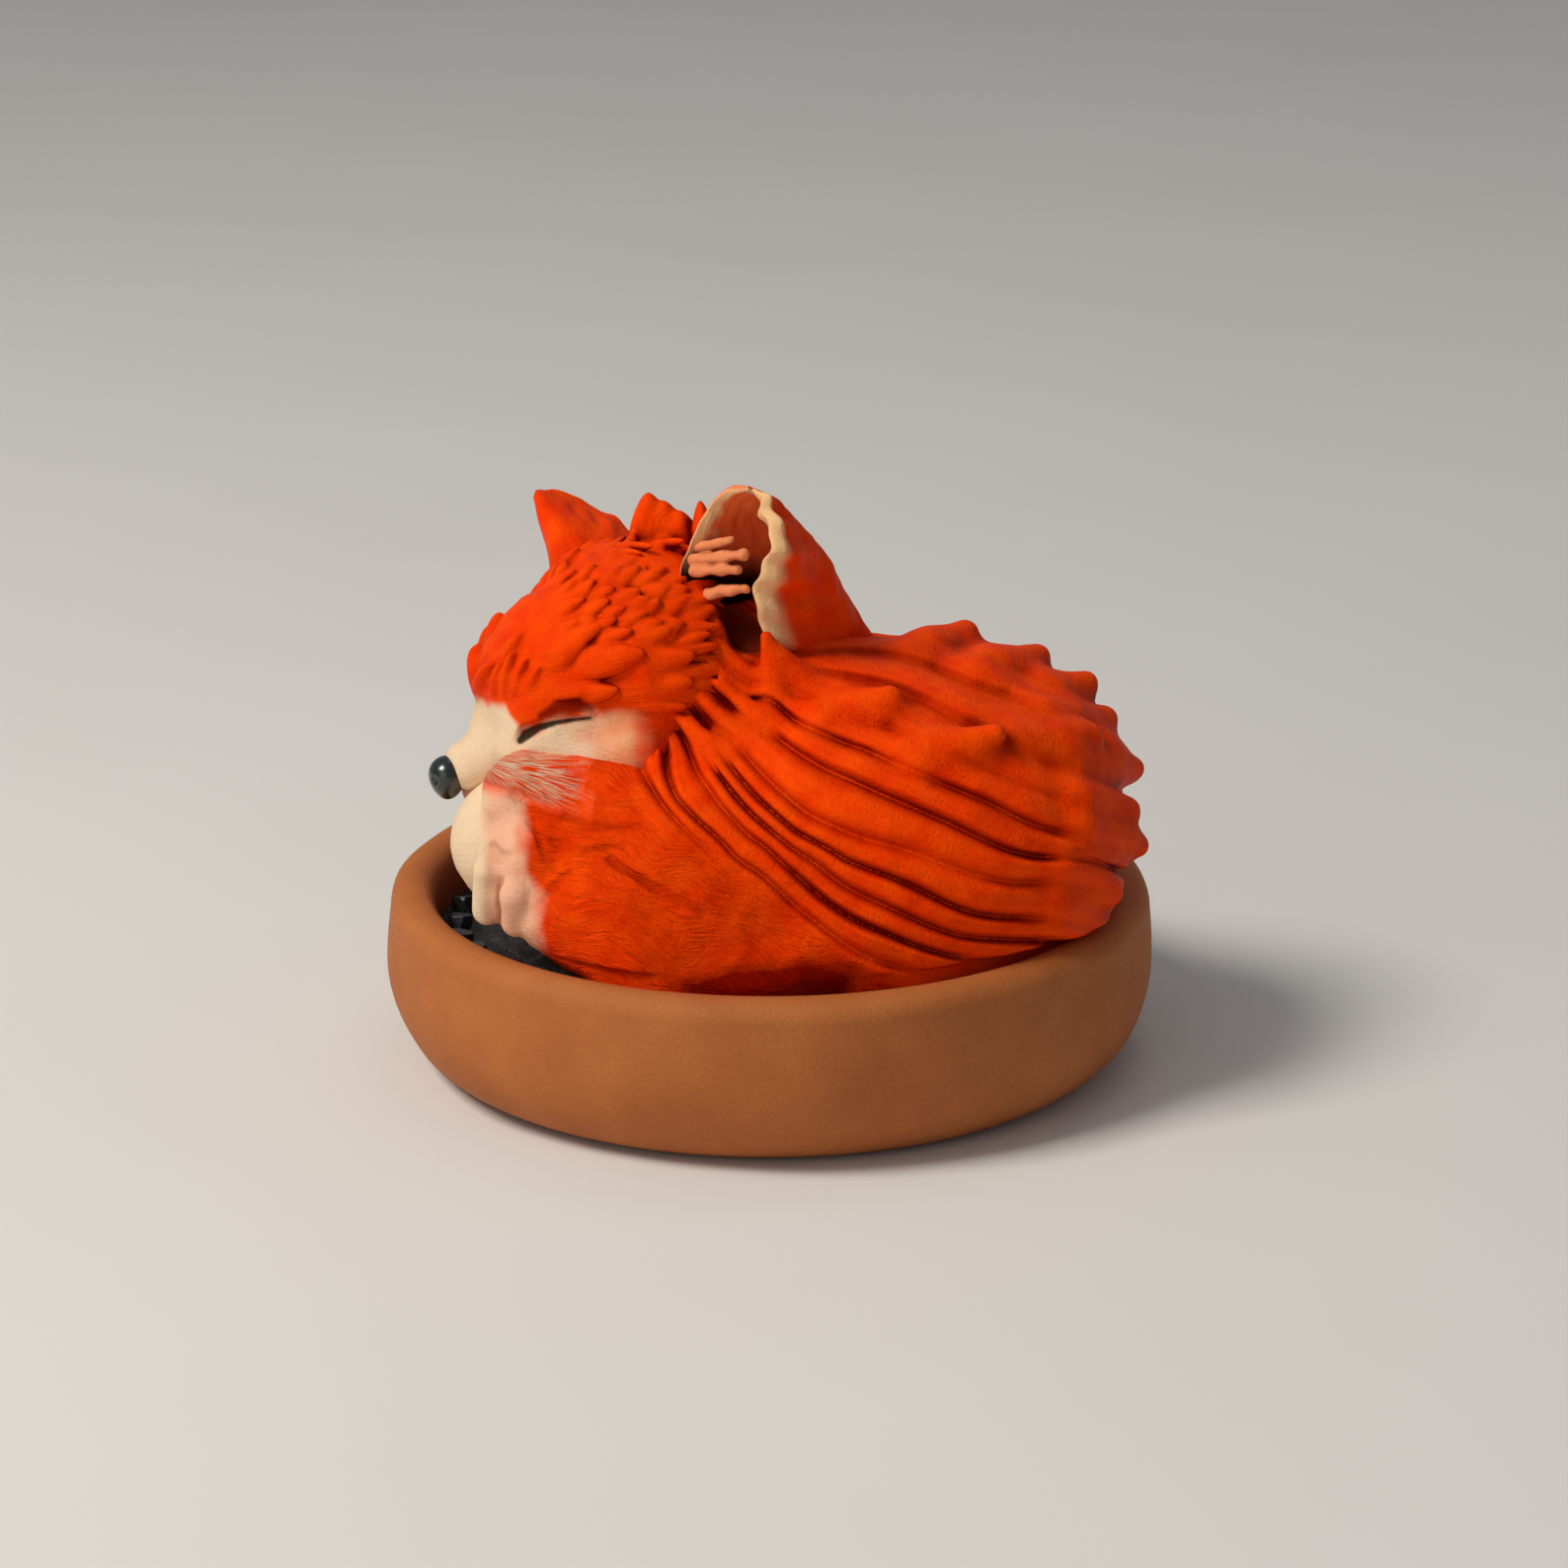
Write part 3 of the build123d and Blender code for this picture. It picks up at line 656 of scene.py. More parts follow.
def buildStones():
    s = stoneForm
    dice = np.random.default_rng(21)
    block = ClayBlock(s["low"], s["high"], s["grain"])
    for number in range(s["count"]):
        turn = math.radians(s["from"] + (s["to"] - s["from"]) * number / (s["count"] - 1))
        size = s["size"] * (s["usual"] + s["spread"] * math.cos(2.4 * number))
        height = bedForm["top"] + size * s["raised"]
        centre = np.array([s["ring"] * math.cos(turn), s["ring"] * math.sin(turn), height])
        sides = [unit(dice.normal(size=3) * (1, 1, 0.4)) for _ in range(s["facets"])]
        facets = sides + [unit(np.array([0, 0, 1.0]) + 0.25 * dice.normal(size=3))]
        depths = [size * dice.uniform(*s["chip"]) for _ in sides] + [size * s["flatTop"]]
        way = np.array([-math.sin(turn), math.cos(turn), 0])
        block.add(chipShape, [centre], size + 0.5, s["soft"], centre, way, size, facets, depths)
    points, quads, outward, hollow = block.surface()
    marks = {"hollow": hollow}
    makePiece("bedStones", points, quads, "dish", ["bed_stones"], stoneCoat, outward, marks)


buildBed()
buildStones()
print("bed and stones laid")

# Fox: places shared by its pieces
foxForm = {
    "headMiddle": (-11.4, -3.9, 31.2), "headRadius": 9.7, "headTurn": 16.0,
    "torsoMiddle": (8.6, -4.0, 19.6), "torsoHalf": (18.8, 18.3, 13.3), "torsoSag": 0.9,
    "torsoFullness": 2.35, "bedTop": 9.66, "wallRadius": 25.55, "wallTop": 14.1, "wallEase": 0.8,
    "wallOpen": 40,
}
headMiddle = np.array(foxForm["headMiddle"])
headTurn = math.radians(foxForm["headTurn"])
headAhead = np.array([-math.cos(headTurn), -math.sin(headTurn), 0])
headLeft = np.array([math.sin(headTurn), -math.cos(headTurn), 0])


def onHead(front, side, up):
    return headMiddle + foxForm["headRadius"] * (front * headAhead + side * headLeft + np.array([0, 0, up]))


def mirrored(spots):
    return spots - 2 * ((spots - headMiddle) @ headLeft)[..., None] * headLeft


def mirroredWay(way):
    return way - 2 * (way @ headLeft) * headLeft


def torsoShape(x, y, z):
    (cx, cy, cz), (a, b, c) = foxForm["torsoMiddle"], foxForm["torsoHalf"]
    p = foxForm["torsoFullness"]
    t = (x - cx) / a
    level = cz - foxForm["torsoSag"] * np.maximum(t, 0)
    ring = ((y - cy) / b) ** 2 + ((z - level) / c) ** 2
    swell = (ring ** (p / 2) + np.abs(t) ** p) ** (1 / p)
    return swollen((x - cx, y - cy, z - level), swell)


# Limbs: ends in head radii from the head's middle or as (u, v, depth);
# the neck's end, the leg's reach and all sizes in mm
limbForm = {
    "neckStart": (-0.35, 0, -0.05), "neckEnd": (4.06, -4.0, 24.92), "neckRadius": (9.0, 8.3),
    "legEnd": (1.06, 0.94, -1.36), "legReach": (24.5, 0.5, -1.0), "legSize": (12.5, 7.9),
    "farLegEnd": (0.92, -0.2, -1.35), "farLegStart": (-0.9, -0.5, -1.5), "farLegSize": (12.0, 6.4),
    "wristStart": (534, 806, -13.5), "wristEnd": (690, 846, -14.0), "wristRadius": (3.4, 5.6),
    "heelStart": (556, 928, -17.8), "heelEnd": (652, 968, -20.2), "heelRadius": (1.9, 3.0),
    "paw": (0.9, 0.92, -1.2), "pawLean": (0.25, 0, 1), "pawSize": (5.6, 4.5),
    "farPaw": (0.96, 0.3, -1.2), "farPawLean": (0.1, 0, 1), "farPawSize": (5.2, 4.6),
}
legEnd = onHead(*limbForm["legEnd"])
legStart = legEnd + np.array(limbForm["legReach"])
farLegEnd, farLegStart = onHead(*limbForm["farLegEnd"]), onHead(*limbForm["farLegStart"])
pawAt, farPawAt = onHead(*limbForm["paw"]), onHead(*limbForm["farPaw"])


def neckShape(x, y, z):
    return roll(x, y, z, onHead(*limbForm["neckStart"]), limbForm["neckEnd"], *limbForm["neckRadius"])


def legShape(x, y, z):
    return egg(x, y, z, (legEnd + legStart) / 2, legEnd, *limbForm["legSize"])


def farLegShape(x, y, z):
    return egg(x, y, z, (farLegEnd + farLegStart) / 2, farLegEnd, *limbForm["farLegSize"])


def wristShape(x, y, z):
    ends = atDepth(*limbForm["wristStart"]), atDepth(*limbForm["wristEnd"])
    return roll(x, y, z, *ends, *limbForm["wristRadius"])


def heelShape(x, y, z):
    ends = atDepth(*limbForm["heelStart"]), atDepth(*limbForm["heelEnd"])
    return roll(x, y, z, *ends, *limbForm["heelRadius"])


def pawShape(x, y, z):
    return egg(x, y, z, pawAt, pawAt + np.array(limbForm["pawLean"]), *limbForm["pawSize"])


def farPawShape(x, y, z):
    return egg(x, y, z, farPawAt, farPawAt + np.array(limbForm["farPawLean"]), *limbForm["farPawSize"])


# The belly settles against the front of the dish, thin at the paw and soon full
bellyForm = {
    "from": -114.0, "to": -30.0, "radius": 4.2, "thin": 0.4, "filling": 1.6, "wall": 25.6, "floor": 9.6,
}


def bellyShape(x, y, z):
    b = bellyForm
    turn = np.clip(np.degrees(np.arctan2(y, x)), b["from"], b["to"])
    share = (turn - b["from"]) / (b["to"] - b["from"])
    full = np.sin(np.pi / 2 * np.minimum(1, b["filling"] * share))
    radius = b["radius"] * (b["thin"] + (1 - b["thin"]) * full)
    reach = b["wall"] - radius
    across, ahead = reach * np.cos(np.radians(turn)), reach * np.sin(np.radians(turn))
    return np.sqrt((x - across) ** 2 + (y - ahead) ** 2 + (z - b["floor"] - radius) ** 2) - radius


# Hollow under the near ear's cup, from top to bottom as (u, v, depth)
earHoleForm = {
    "top": (752, 592, -7.4), "foot": (758, 640, -8.6), "radius": (2.3, 1.5), "shade": 0.9,
    "fade": (0.6, 0.0),
}
earHoleEnds = [atDepth(*earHoleForm["top"]), atDepth(*earHoleForm["foot"])]


def earHole(x, y, z):
    return roll(x, y, z, *earHoleEnds, *earHoleForm["radius"])


def earShade(x, y, z):
    return ease(*earHoleForm["fade"], earHole(x, y, z)) * earHoleForm["shade"]


# How softly the limbs run into the trunk, in mm
limbSoft = {"belly": 4.5, "neck": 3.0, "wrist": 2.5, "heel": 3.0, "leg": 4.0, "farLeg": 1.5}


def bodyBase(x, y, z):
    trunk = join(torsoShape(x, y, z), bellyShape(x, y, z), limbSoft["belly"])
    trunk = join(trunk, neckShape(x, y, z), limbSoft["neck"])
    leg = join(legShape(x, y, z), wristShape(x, y, z), limbSoft["wrist"])
    leg = join(leg, heelShape(x, y, z), limbSoft["heel"])
    return join(join(trunk, leg, limbSoft["leg"]), farLegShape(x, y, z), limbSoft["farLeg"])


# Combed locks: ridges that run from the neck over the flank to the rump, counted around a comb line
ridgeForm = {
    "from": (-10.58, -9.86, 31.04), "to": (37.93, -8.03, 8.43), "count": 66, "perLock": 3,
    "crowd": 0.34, "depth": 1.1, "slope": 0.42, "strand": 0.3, "spacing": 1.8, "wander": 0.09,
    "driftSpan": 6.0, "driftAlong": 0.3, "sharp": 0.72, "lockFloor": 0.006, "lockMean": 0.58,
    "strandFloor": 0.03, "strandMean": 0.68, "startFade": (-3.0, 2.0), "turnFade": (-3.0, 3.0),
    "upperFade": (1.4, 3.0), "leastShare": 0.04,
}
ridgeFrom = np.array(ridgeForm["from"])
ridgeAxis = unit(np.array(ridgeForm["to"]) - ridgeFrom)
ridgeUp = unit(np.array([0, 0, 1.0]) - ridgeAxis * ridgeAxis[2])
ridgeSide = np.cross(ridgeAxis, ridgeUp)
ridgeFront = math.atan2(-ridgeSide[1], -ridgeUp[1])  # turn toward the viewer, where locks lie wider


def combed(x, y, z):
    away = awayFrom(ridgeFrom, x, y, z)
    a, b = along(ridgeUp, *away), along(ridgeSide, *away)
    turn = np.arctan2(b, a)
    crowd = 1 - ridgeForm["crowd"] * np.cos(turn - ridgeFront)
    number = ridgeForm["count"] / (2 * math.pi) * (turn - ridgeForm["crowd"] * np.sin(turn - ridgeFront))
    width = 2 * math.pi * np.hypot(a, b) / (ridgeForm["count"] * crowd)
    return number, along(ridgeAxis, *away), width


# Creases between the locks of the near flank as seen, top to bottom, each from the neck to the rump;
# below the brim the coat melts into the short fur of the foreleg
flankForm = {
    "creases": [
        [(812, 662), (860, 660), (920, 668), (980, 694), (1050, 720)],
        [(790, 676), (840, 682), (900, 696), (970, 728), (1060, 770)],
        [(764, 692), (824, 708), (880, 734), (960, 764), (1080, 812)],
        [(778, 706), (813, 733), (875, 761), (956, 794), (1104, 849)],
        [(764, 735), (795, 763), (854, 802), (936, 824), (1020, 859), (1104, 870)],
        [(750, 758), (795, 804), (844, 837), (926, 863), (1009, 893), (1108, 905)],
        [(734, 766), (773, 814), (824, 855), (895, 886), (1009, 921), (1108, 939)],
        [(718, 770), (754, 820), (803, 861), (860, 895), (956, 941), (1078, 958)],
        [(697, 765), (726, 818), (775, 861), (860, 928), (975, 969)],
        [(674, 750), (681, 798), (707, 831), (775, 895), (870, 965)],
        [(646, 780), (675, 822), (720, 868), (800, 940)],
    ],
    "brim": [(630, 815), (700, 848), (790, 912), (900, 1000)], "brimFade": (22, -26),
    "neckFade": (628, 668), "low": (540, 560), "high": (1220, 1020), "step": 4, "samples": 7,
    "unit": 100, "softness": 0.002, "leastSlope": 0.004, "pixelsPerMm": 12.9,
}


def plateBend(square):
    return square * np.log(square + 1e-9)


# Chart of the picture that numbers the locks: a thin plate bent through the creases, and a lock's width
def chartLocks():
    f = flankForm
    spots = np.concatenate([smoothLine(line, f["samples"]) for line in f["creases"]]) / f["unit"]
    numbers = np.repeat(np.arange(len(f["creases"])), f["samples"])
    flat = np.column_stack([np.ones(len(spots)), spots])
    stiff = plateBend(((spots[:, None] - spots) ** 2).sum(2)) + f["softness"] * np.eye(len(spots))
    system = np.block([[stiff, flat], [flat.T, np.zeros((3, 3))]])
    weights = np.linalg.solve(system, np.concatenate([numbers, np.zeros(3)]))
    u, v = np.meshgrid(*[np.arange(f["low"][i], f["high"][i], f["step"]) for i in (0, 1)], indexing="ij")
    pixels = np.stack([u.ravel(), v.ravel()], 1) / f["unit"]
    pull = plateBend(((pixels[:, None] - spots) ** 2).sum(2)) @ weights[:-3]
    number = (pull + weights[-3] + pixels @ weights[-2:]).reshape(u.shape)
    slope = np.maximum(np.hypot(*np.gradient(number, f["step"])), f["leastSlope"])
    return number, 1 / slope / f["pixelsPerMm"]


lockChart, lockWidth = chartLocks()


def readChart(chart, u, v):
    i, j = ((seen - low) / flankForm["step"] for seen, low in zip((u, v), flankForm["low"]))
    i, j = np.clip(i, 0, chart.shape[0] - lastCell), np.clip(j, 0, chart.shape[1] - lastCell)
    a, b = i.astype(int), j.astype(int)
    s, t = i - a, j - b
    upper = chart[a, b] * (1 - s) + chart[a + 1, b] * s
    lower = chart[a, b + 1] * (1 - s) + chart[a + 1, b + 1] * s
    return upper * (1 - t) + lower * t


# Where the coat is combed into locks, on the near side and around the back
def lockShare(x, y, z, lengthwise):
    f = flankForm
    u, v = seenAt(np.stack([x, y, z], 1))
    near = ease(*f["brimFade"], v - np.interp(u, *zip(*f["brim"]))) * ease(*f["neckFade"], u)
    return near + (ease(*ridgeForm["startFade"], lengthwise) - near) * ease(*ridgeForm["turnFade"], y)


# Height over a lock: a broad crest with a fine strand to each side
def lockProfile(number, width):
    r = ridgeForm
    lock = (np.sin(math.pi * number) ** 2 + r["lockFloor"]) ** r["sharp"] - r["lockMean"]
    strand = np.sqrt(np.sin(2 * math.pi * number) ** 2 + r["strandFloor"]) - r["strandMean"]
    return np.minimum(r["slope"] * width, r["depth"]) * (lock + r["strand"] * strand)


# Slow change along a lock
def drift(number, lengthwise, seed):
    r = ridgeForm
    return unevenness(number, lengthwise * r["driftAlong"], np.zeros_like(number), r["driftSpan"], seed)


def ridgeHeight(x, y, z):
    r = ridgeForm
    u, v = seenAt(np.stack([x, y, z], 1))
    seen = readChart(lockChart, u, v)
    number, lengthwise, width = combed(x, y, z)
    seen = seen + r["wander"] * drift(seen * 2.4, lengthwise, 31)
    number = number / r["perLock"] + r["wander"] * drift(number * 0.8, lengthwise, 32)
    near = lockProfile(seen, readChart(lockWidth, u, v)) * (0.5 + 0.5 * ease(*r["upperFade"], seen))
    hidden = lockProfile(number, width * r["perLock"])
    height = near + (hidden - near) * ease(*r["turnFade"], y)
    strong = np.clip(0.95 + 0.15 * drift(seen * 3.0, lengthwise, 34), 0.6, 1.25)
    share = r["leastShare"] + (1 - r["leastShare"]) * lockShare(x, y, z, lengthwise)
    return strong * share * height


# Rolls laid on a form: start and tip as seen, lift of the tip, and radii; sunk in by shares of the radii
def laidRolls(form, seen, sunk, tipSunk):
    rolls = []
    for startU, startV, tipU, tipV, lift, wide, narrow in seen:
        start, out = spotOn(form, startU, startV)
        tip, tipOut = spotOn(form, tipU, tipV)
        rolls.append((start - out * wide * sunk, tip + tipOut * (lift - narrow * tipSunk), wide, narrow))
    return rolls


# Raised ends of the locks; the hidden ones by their turn in degrees and place along the torso's width
lockForm = {
    "seen": [
        (925, 660, 974, 650, 1.1, 2.0, 1.15), (995, 678, 1044, 676, 1.2, 2.2, 1.2),
        (1060, 722, 1110, 734, 1.2, 1.9, 1.0), (1085, 760, 1134, 782, 1.3, 1.8, 0.95),
        (1094, 804, 1134, 822, 0.9, 1.6, 0.95), (1098, 842, 1138, 856, 1.4, 1.7, 0.95),
        (930, 762, 1002, 754, 1.5, 1.9, 0.8), (1036, 748, 1096, 750, 1.1, 1.7, 0.85),
        (836, 720, 900, 712, 0.85, 1.9, 1.0), (1080, 884, 1118, 902, 1.0, 1.6, 0.9),
        (1072, 924, 1106, 940, 0.8, 1.5, 0.85), (1060, 694, 1092, 700, 1.2, 1.7, 0.9),
    ],
    "sunk": 0.55, "tipSunk": 0.4, "hidden": [(60, 0.34), (40, 0.31), (22, 0.26), (4, 0.19)],
    "hiddenTurn": 15, "hiddenStart": (0.6, -0.144), "hiddenLift": (-0.9, 1.0),
    "hiddenRadius": (1.9, 1.0), "search": (2, 24, 900),
}


# Spot on the torso's skin at a turn and a share of its width, lifted by a height
def torsoSpot(turn, share, lift):
    way = np.array([math.cos(math.radians(turn)), 0, math.sin(math.radians(turn))])
    middleLine = np.array(foxForm["torsoMiddle"]) + np.array([0, 2 * foxForm["torsoHalf"][1] * share, 0])
    spots = middleLine + np.outer(np.linspace(*lockForm["search"]), way)
    skin = spots[np.argmin(np.abs(torsoShape(*spots.T)))]
    return skin + slopeOf(torsoShape, skin) * lift


def lockRolls():
    f = lockForm
    rolls = laidRolls(torsoShape, f["seen"], f["sunk"], f["tipSunk"])
    for turn, share in f["hidden"]:
        startShare = f["hiddenStart"][0] * share + f["hiddenStart"][1]
        start = torsoSpot(turn + f["hiddenTurn"], startShare, f["hiddenLift"][0])
        rolls.append((start, torsoSpot(turn, share, f["hiddenLift"][1]), *f["hiddenRadius"]))
    return rolls


# Small locks where the coat starts behind the cheek, and a spike with two roots before the ear's foot
maneForm = {
    "seen": [
        (778, 734, 729, 693, 0.4, 1.1, 0.35), (756, 750, 706, 703, 0.4, 1.0, 0.3),
        (738, 762, 684, 723, 0.35, 0.9, 0.3), (724, 772, 700, 735, 0.3, 0.8, 0.3),
    ],
    "sunk": 0.6, "spikeTip": (776, 645, -10.4), "spikeRoots": [(786, 694, 1.5), (818, 690, 1.6)],
    "spikePoint": 0.25,
}


def maneRolls():
    f = maneForm
    rolls = laidRolls(bodyBase, f["seen"], f["sunk"], 0)
    for u, v, wide in f["spikeRoots"]:
        root, out = spotOn(bodyBase, u, v)
        rolls.append((root - out * wide * f["sunk"], atDepth(*f["spikeTip"]), wide, f["spikePoint"]))
    return rolls


# Toes, and creases pressed with a needle, as seen: points along each, then radius
toeForm = {
    "seen": [((491, 882), (490, 924), 1.25), ((522, 908), (522, 936), 1.4), ((553, 914), (557, 938), 1.35)],
    "sunk": 0.25, "taper": 0.9,
}
creaseForm = {
    "seen": [
        ((518, 804), (537, 832), (558, 880), 0.20), ((618, 871), (664, 900), (712, 924), 0.26),
        ((560, 852), (592, 862), (632, 856), 0.18), ((497, 858), (506, 868), (517, 866), 0.32),
        ((507, 892), (507, 918), (509, 944), 0.22), ((576, 884), (560, 898), (548, 914), 0.22),
        ((572, 826), (604, 838), (648, 838), 0.16),
    ],
    "lift": 0.08, "taper": 0.6,
}


# Spots on a form as seen, moved out by a distance
def liftedSpots(form, seen, lift):
    return [spot + out * lift for spot, out in (spotOn(form, u, v) for u, v in seen)]


def toeRolls():
    rolls = []
    for *seen, radius in toeForm["seen"]:
        ends = liftedSpots(pawShape, seen, -radius * toeForm["sunk"])
        rolls.append((*ends, radius, radius * toeForm["taper"]))
    return rolls


def creaseRolls(form):
    rolls = []
    for *seen, radius in creaseForm["seen"]:
        start, bend, end = liftedSpots(form, seen, creaseForm["lift"])
        rolls += [(start, bend, radius, radius), (bend, end, radius, radius * creaseForm["taper"])]
    return rolls


def nearestRoll(points, rolls):
    return np.min([roll(*points.T, *given) for given in rolls], axis=0)


# Keeps a block clear of the bed and of the dish's wall
def aboveDish(block):
    f = foxForm
    block.field = np.maximum(block.field, f["bedTop"] - block.z)
    over = f["wallOpen"] * ease(f["wallTop"], f["wallTop"] + f["wallEase"], block.z)
    wall = np.hypot(block.x, block.y) - f["wallRadius"] - over
    block.field = np.maximum(block.field, wall.astype(np.float32))


# Body: margin and softness of what is worked into its clay, and its thumb marks
bodyForm = {
    "low": (-25, -25, 9.2), "high": (30.5, 16, 37), "grain": 0.16, "lock": (4.0, 1.8), "mane": (3.0, 0.8),
    "hole": (4.0, 0.6), "paw": (7, 0.8), "farPaw": (7, 0.5), "toe": (3.0, 0.4), "crease": (1.5, 0.4),
    "waves": ((0.012, 1.6, 41), (0.04, 4.5, 42)),
}
# Paws: picture points where cream sets in and fades, and the fan of pale fur between cheek and wrist
pawTint = {
    "edge": 528, "toeShift": 16, "toeRows": (880, 905), "edgeFade": (13, -11), "topFade": (792, 812),
    "topSlope": 0.2, "topFrom": 500, "blushFade": (486, 500), "fanFade": (604, 536),
    "fanTop": (812, 784), "fanSlope": 0.35, "fanFrom": 520, "fanCentre": (474, 766), "fanStrokes": 13.0,
    "fanScale": 13,
}


def bodyWithPaw(x, y, z):
    return join(bodyBase(x, y, z), pawShape(x, y, z), bodyForm["paw"][1])


def sculptBody(locks, manes, toes):
    f = bodyForm
    block = ClayBlock(f["low"], f["high"], f["grain"])
    block.fill(bodyBase)
    block.emboss(ridgeHeight)
    block.workEach(join, roll, locks, *f["lock"])
    block.workEach(join, roll, manes, *f["mane"])
    block.carve(earHole, earHoleEnds, *f["hole"])
    block.add(pawShape, [pawAt], *f["paw"])
    block.add(farPawShape, [farPawAt], *f["farPaw"])
    block.workEach(join, roll, toes, *f["toe"])
    block.workEach(cut, roll, creaseRolls(bodyWithPaw), *f["crease"])
    block.roughen(f["waves"])
    aboveDish(block)
    return block.surface()


# Lie of the fur and colours of the coat and paws; near holds the distance to each form
def coatMarks(points, hollow, near):
    p = pawTint
    x, y, z = points.T
    u, v = seenAt(points)
    still = np.zeros_like(x)
    number, lengthwise, _ = combed(x, y, z)
    number = np.where(y < 0, readChart(lockChart, u, v) * ridgeForm["perLock"], number)
    flow = np.stack([number * ridgeForm["spacing"], lengthwise, still], 1)
    legAcross = z + 0.32 * x + 0.35 * y + 0.4 * unevenness(x, y, z, 5, 51)
    shortFlow = np.stack([legAcross, (points - legEnd) @ unit(legStart - legEnd), still], 1)
    # toes and the front of the paw are cream and pink, orange from the wrist on
    uneven = unevenness(x, y, z, 1.8, 52)
    edge = p["edge"] + p["toeShift"] * ease(*p["toeRows"], v) + 2.0 * uneven
    nearPaw = np.minimum(np.minimum(near["paw"], near["toes"]), near["leg"] + 0.5)
    cream = ease(edge + p["edgeFade"][0], edge + p["edgeFade"][1], u) * ease(2.2, 1.0, nearPaw)
    cream = cream * ease(*p["topFade"], v - p["topSlope"] * (u - p["topFrom"]))
    farPaw = ease(1.4, 0.4, near["farPaw"]) * ease(-0.4, 0.4, near["farLeg"] - near["farPaw"] + 0.8)
    cream = np.maximum(cream, farPaw * ease(0.0, 0.8, nearPaw))
    fan = ease(*p["fanFade"], u + 4 * uneven) * ease(*p["fanTop"], v - p["fanSlope"] * (u - p["fanFrom"]))
    fan = fan * ease(2.5, 1.0, np.minimum(near["leg"], near["paw"])) * (1 - cream)
    fanU, fanV = u - p["fanCentre"][0], v - p["fanCentre"][1]
    fanTurn, fanReach = np.arctan2(fanV, fanU), np.hypot(fanU, fanV)
    fanFlow = np.stack([fanTurn * p["fanStrokes"], fanReach / p["fanScale"], still], 1)
    shortFlow = np.where((fan > 0.02)[:, None], fanFlow, shortFlow)
    # the short fur's strokes stop where the fan starts
    fanStart = ease(0.0, 0.02, fan) * ease(0.35, 0.12, fan)
    shortCoat = (1 - lockShare(x, y, z, lengthwise)) * (1 - cream) * (1 - fanStart)
    blush = np.clip(ease(*p["blushFade"], u) * cream * 0.75, 0, 1)
    # painted shade in the creases, and in the hole under the ear
    return {
        "hollow": hollow, "dark": earShade(x, y, z), "flow": flow, "shortFlow": shortFlow,
        "shortCoat": shortCoat, "cream": np.clip(cream - 0.7 * blush, 0, 1), "blush": blush, "fan": fan,
    }


def buildBody():
    locks, manes, toes = lockRolls(), maneRolls(), toeRolls()
    points, quads, outward, hollow = sculptBody(locks, manes, toes)
    x, y, z = points.T
    leg = np.minimum(np.minimum(legShape(x, y, z), wristShape(x, y, z)), heelShape(x, y, z))
    near = {
        "torso": np.minimum(torsoShape(x, y, z), bellyShape(x, y, z)), "neck": neckShape(x, y, z),
        "leg": leg, "farLeg": farLegShape(x, y, z), "paw": pawShape(x, y, z),
        "farPaw": farPawShape(x, y, z), "toes": nearestRoll(points, toes),
        "locks": nearestRoll(points, locks), "mane": nearestRoll(points, manes),
    }
    parts = [
        ("torsoFur", ["torso"], "orange_clay", coatClay),
        ("neckFur", ["neck"], "orange_clay", coatClay),
        ("forelegNear", ["foreleg_near"], "orange_clay", coatClay),
        ("forelegFar", ["foreleg_far"], "orange_clay", coatClay),
        ("pawNear", ["paw_near"], "cream_clay", pawClay),
        ("pawFar", ["paw_far"], "cream_clay", pawClay),
        ("pawToes", ["toes"], "cream_clay", pawClay),
        ("lockTips", ["back_locks"], "orange_clay", coatClay),
        ("maneLocks", ["mane"], "orange_clay", coatClay),
    ]
    label = np.argmin(np.stack(list(near.values())), axis=0)
    splitPieces(parts, label, points, quads, outward, coatMarks(points, hollow, near))
    return len(quads)


print("body sculpted:", buildBody(), "faces")

# Tail on the far side of the dish, tip in cream; turns in degrees, fullest at a share of its length
tailForm = {
    "ring": 20.4, "height": 14.16, "radius": 4.9, "from": 4.0, "split": 118.0, "to": 158.0, "fullest": 0.62,
    "root": 0.62, "taper": 0.4, "strands": 15, "twist": 1.3, "depth": 0.6,
    "low": (-25, -4, 9.2), "high": (26.5, 26.5, 20.5), "grain": 0.2,
}


def tailShape(x, y, z):
    t = tailForm
    turn = np.degrees(np.arctan2(y, x))
    share = np.clip((turn - t["from"]) / (t["to"] - t["from"]), 0, 1)
    filling = t["root"] + (1 - t["root"]) * np.sin(np.pi * np.minimum(1, share / t["fullest"]) / 2)
    closing = np.cos(np.pi / 2 * np.clip((share - t["fullest"]) / t["taper"], 0, 1))
    swell = np.where(share < t["fullest"], filling, closing)
    a = np.radians(np.clip(turn, t["from"], t["to"]))
    gap = (x - t["ring"] * np.cos(a)) ** 2 + (y - t["ring"] * np.sin(a)) ** 2 + (z - t["height"]) ** 2
    return np.sqrt(gap) - t["radius"] * swell


def aroundTail(x, y, z):
    return np.arctan2(z - tailForm["height"], np.hypot(x, y) - tailForm["ring"])


def tailStrands(x, y, z):
    t = tailForm
    number = t["strands"] * aroundTail(x, y, z) / (2 * math.pi) + t["twist"] * np.arctan2(y, x)
    number = number + 0.3 * unevenness(x, y, z, 6, 61)
    crest = np.abs(np.sin(math.pi * number)) ** 0.6
    return t["depth"] * (crest - 0.75) * np.clip(0.8 + 0.3 * unevenness(x, y, z, 5, 62), 0.3, 1.2)


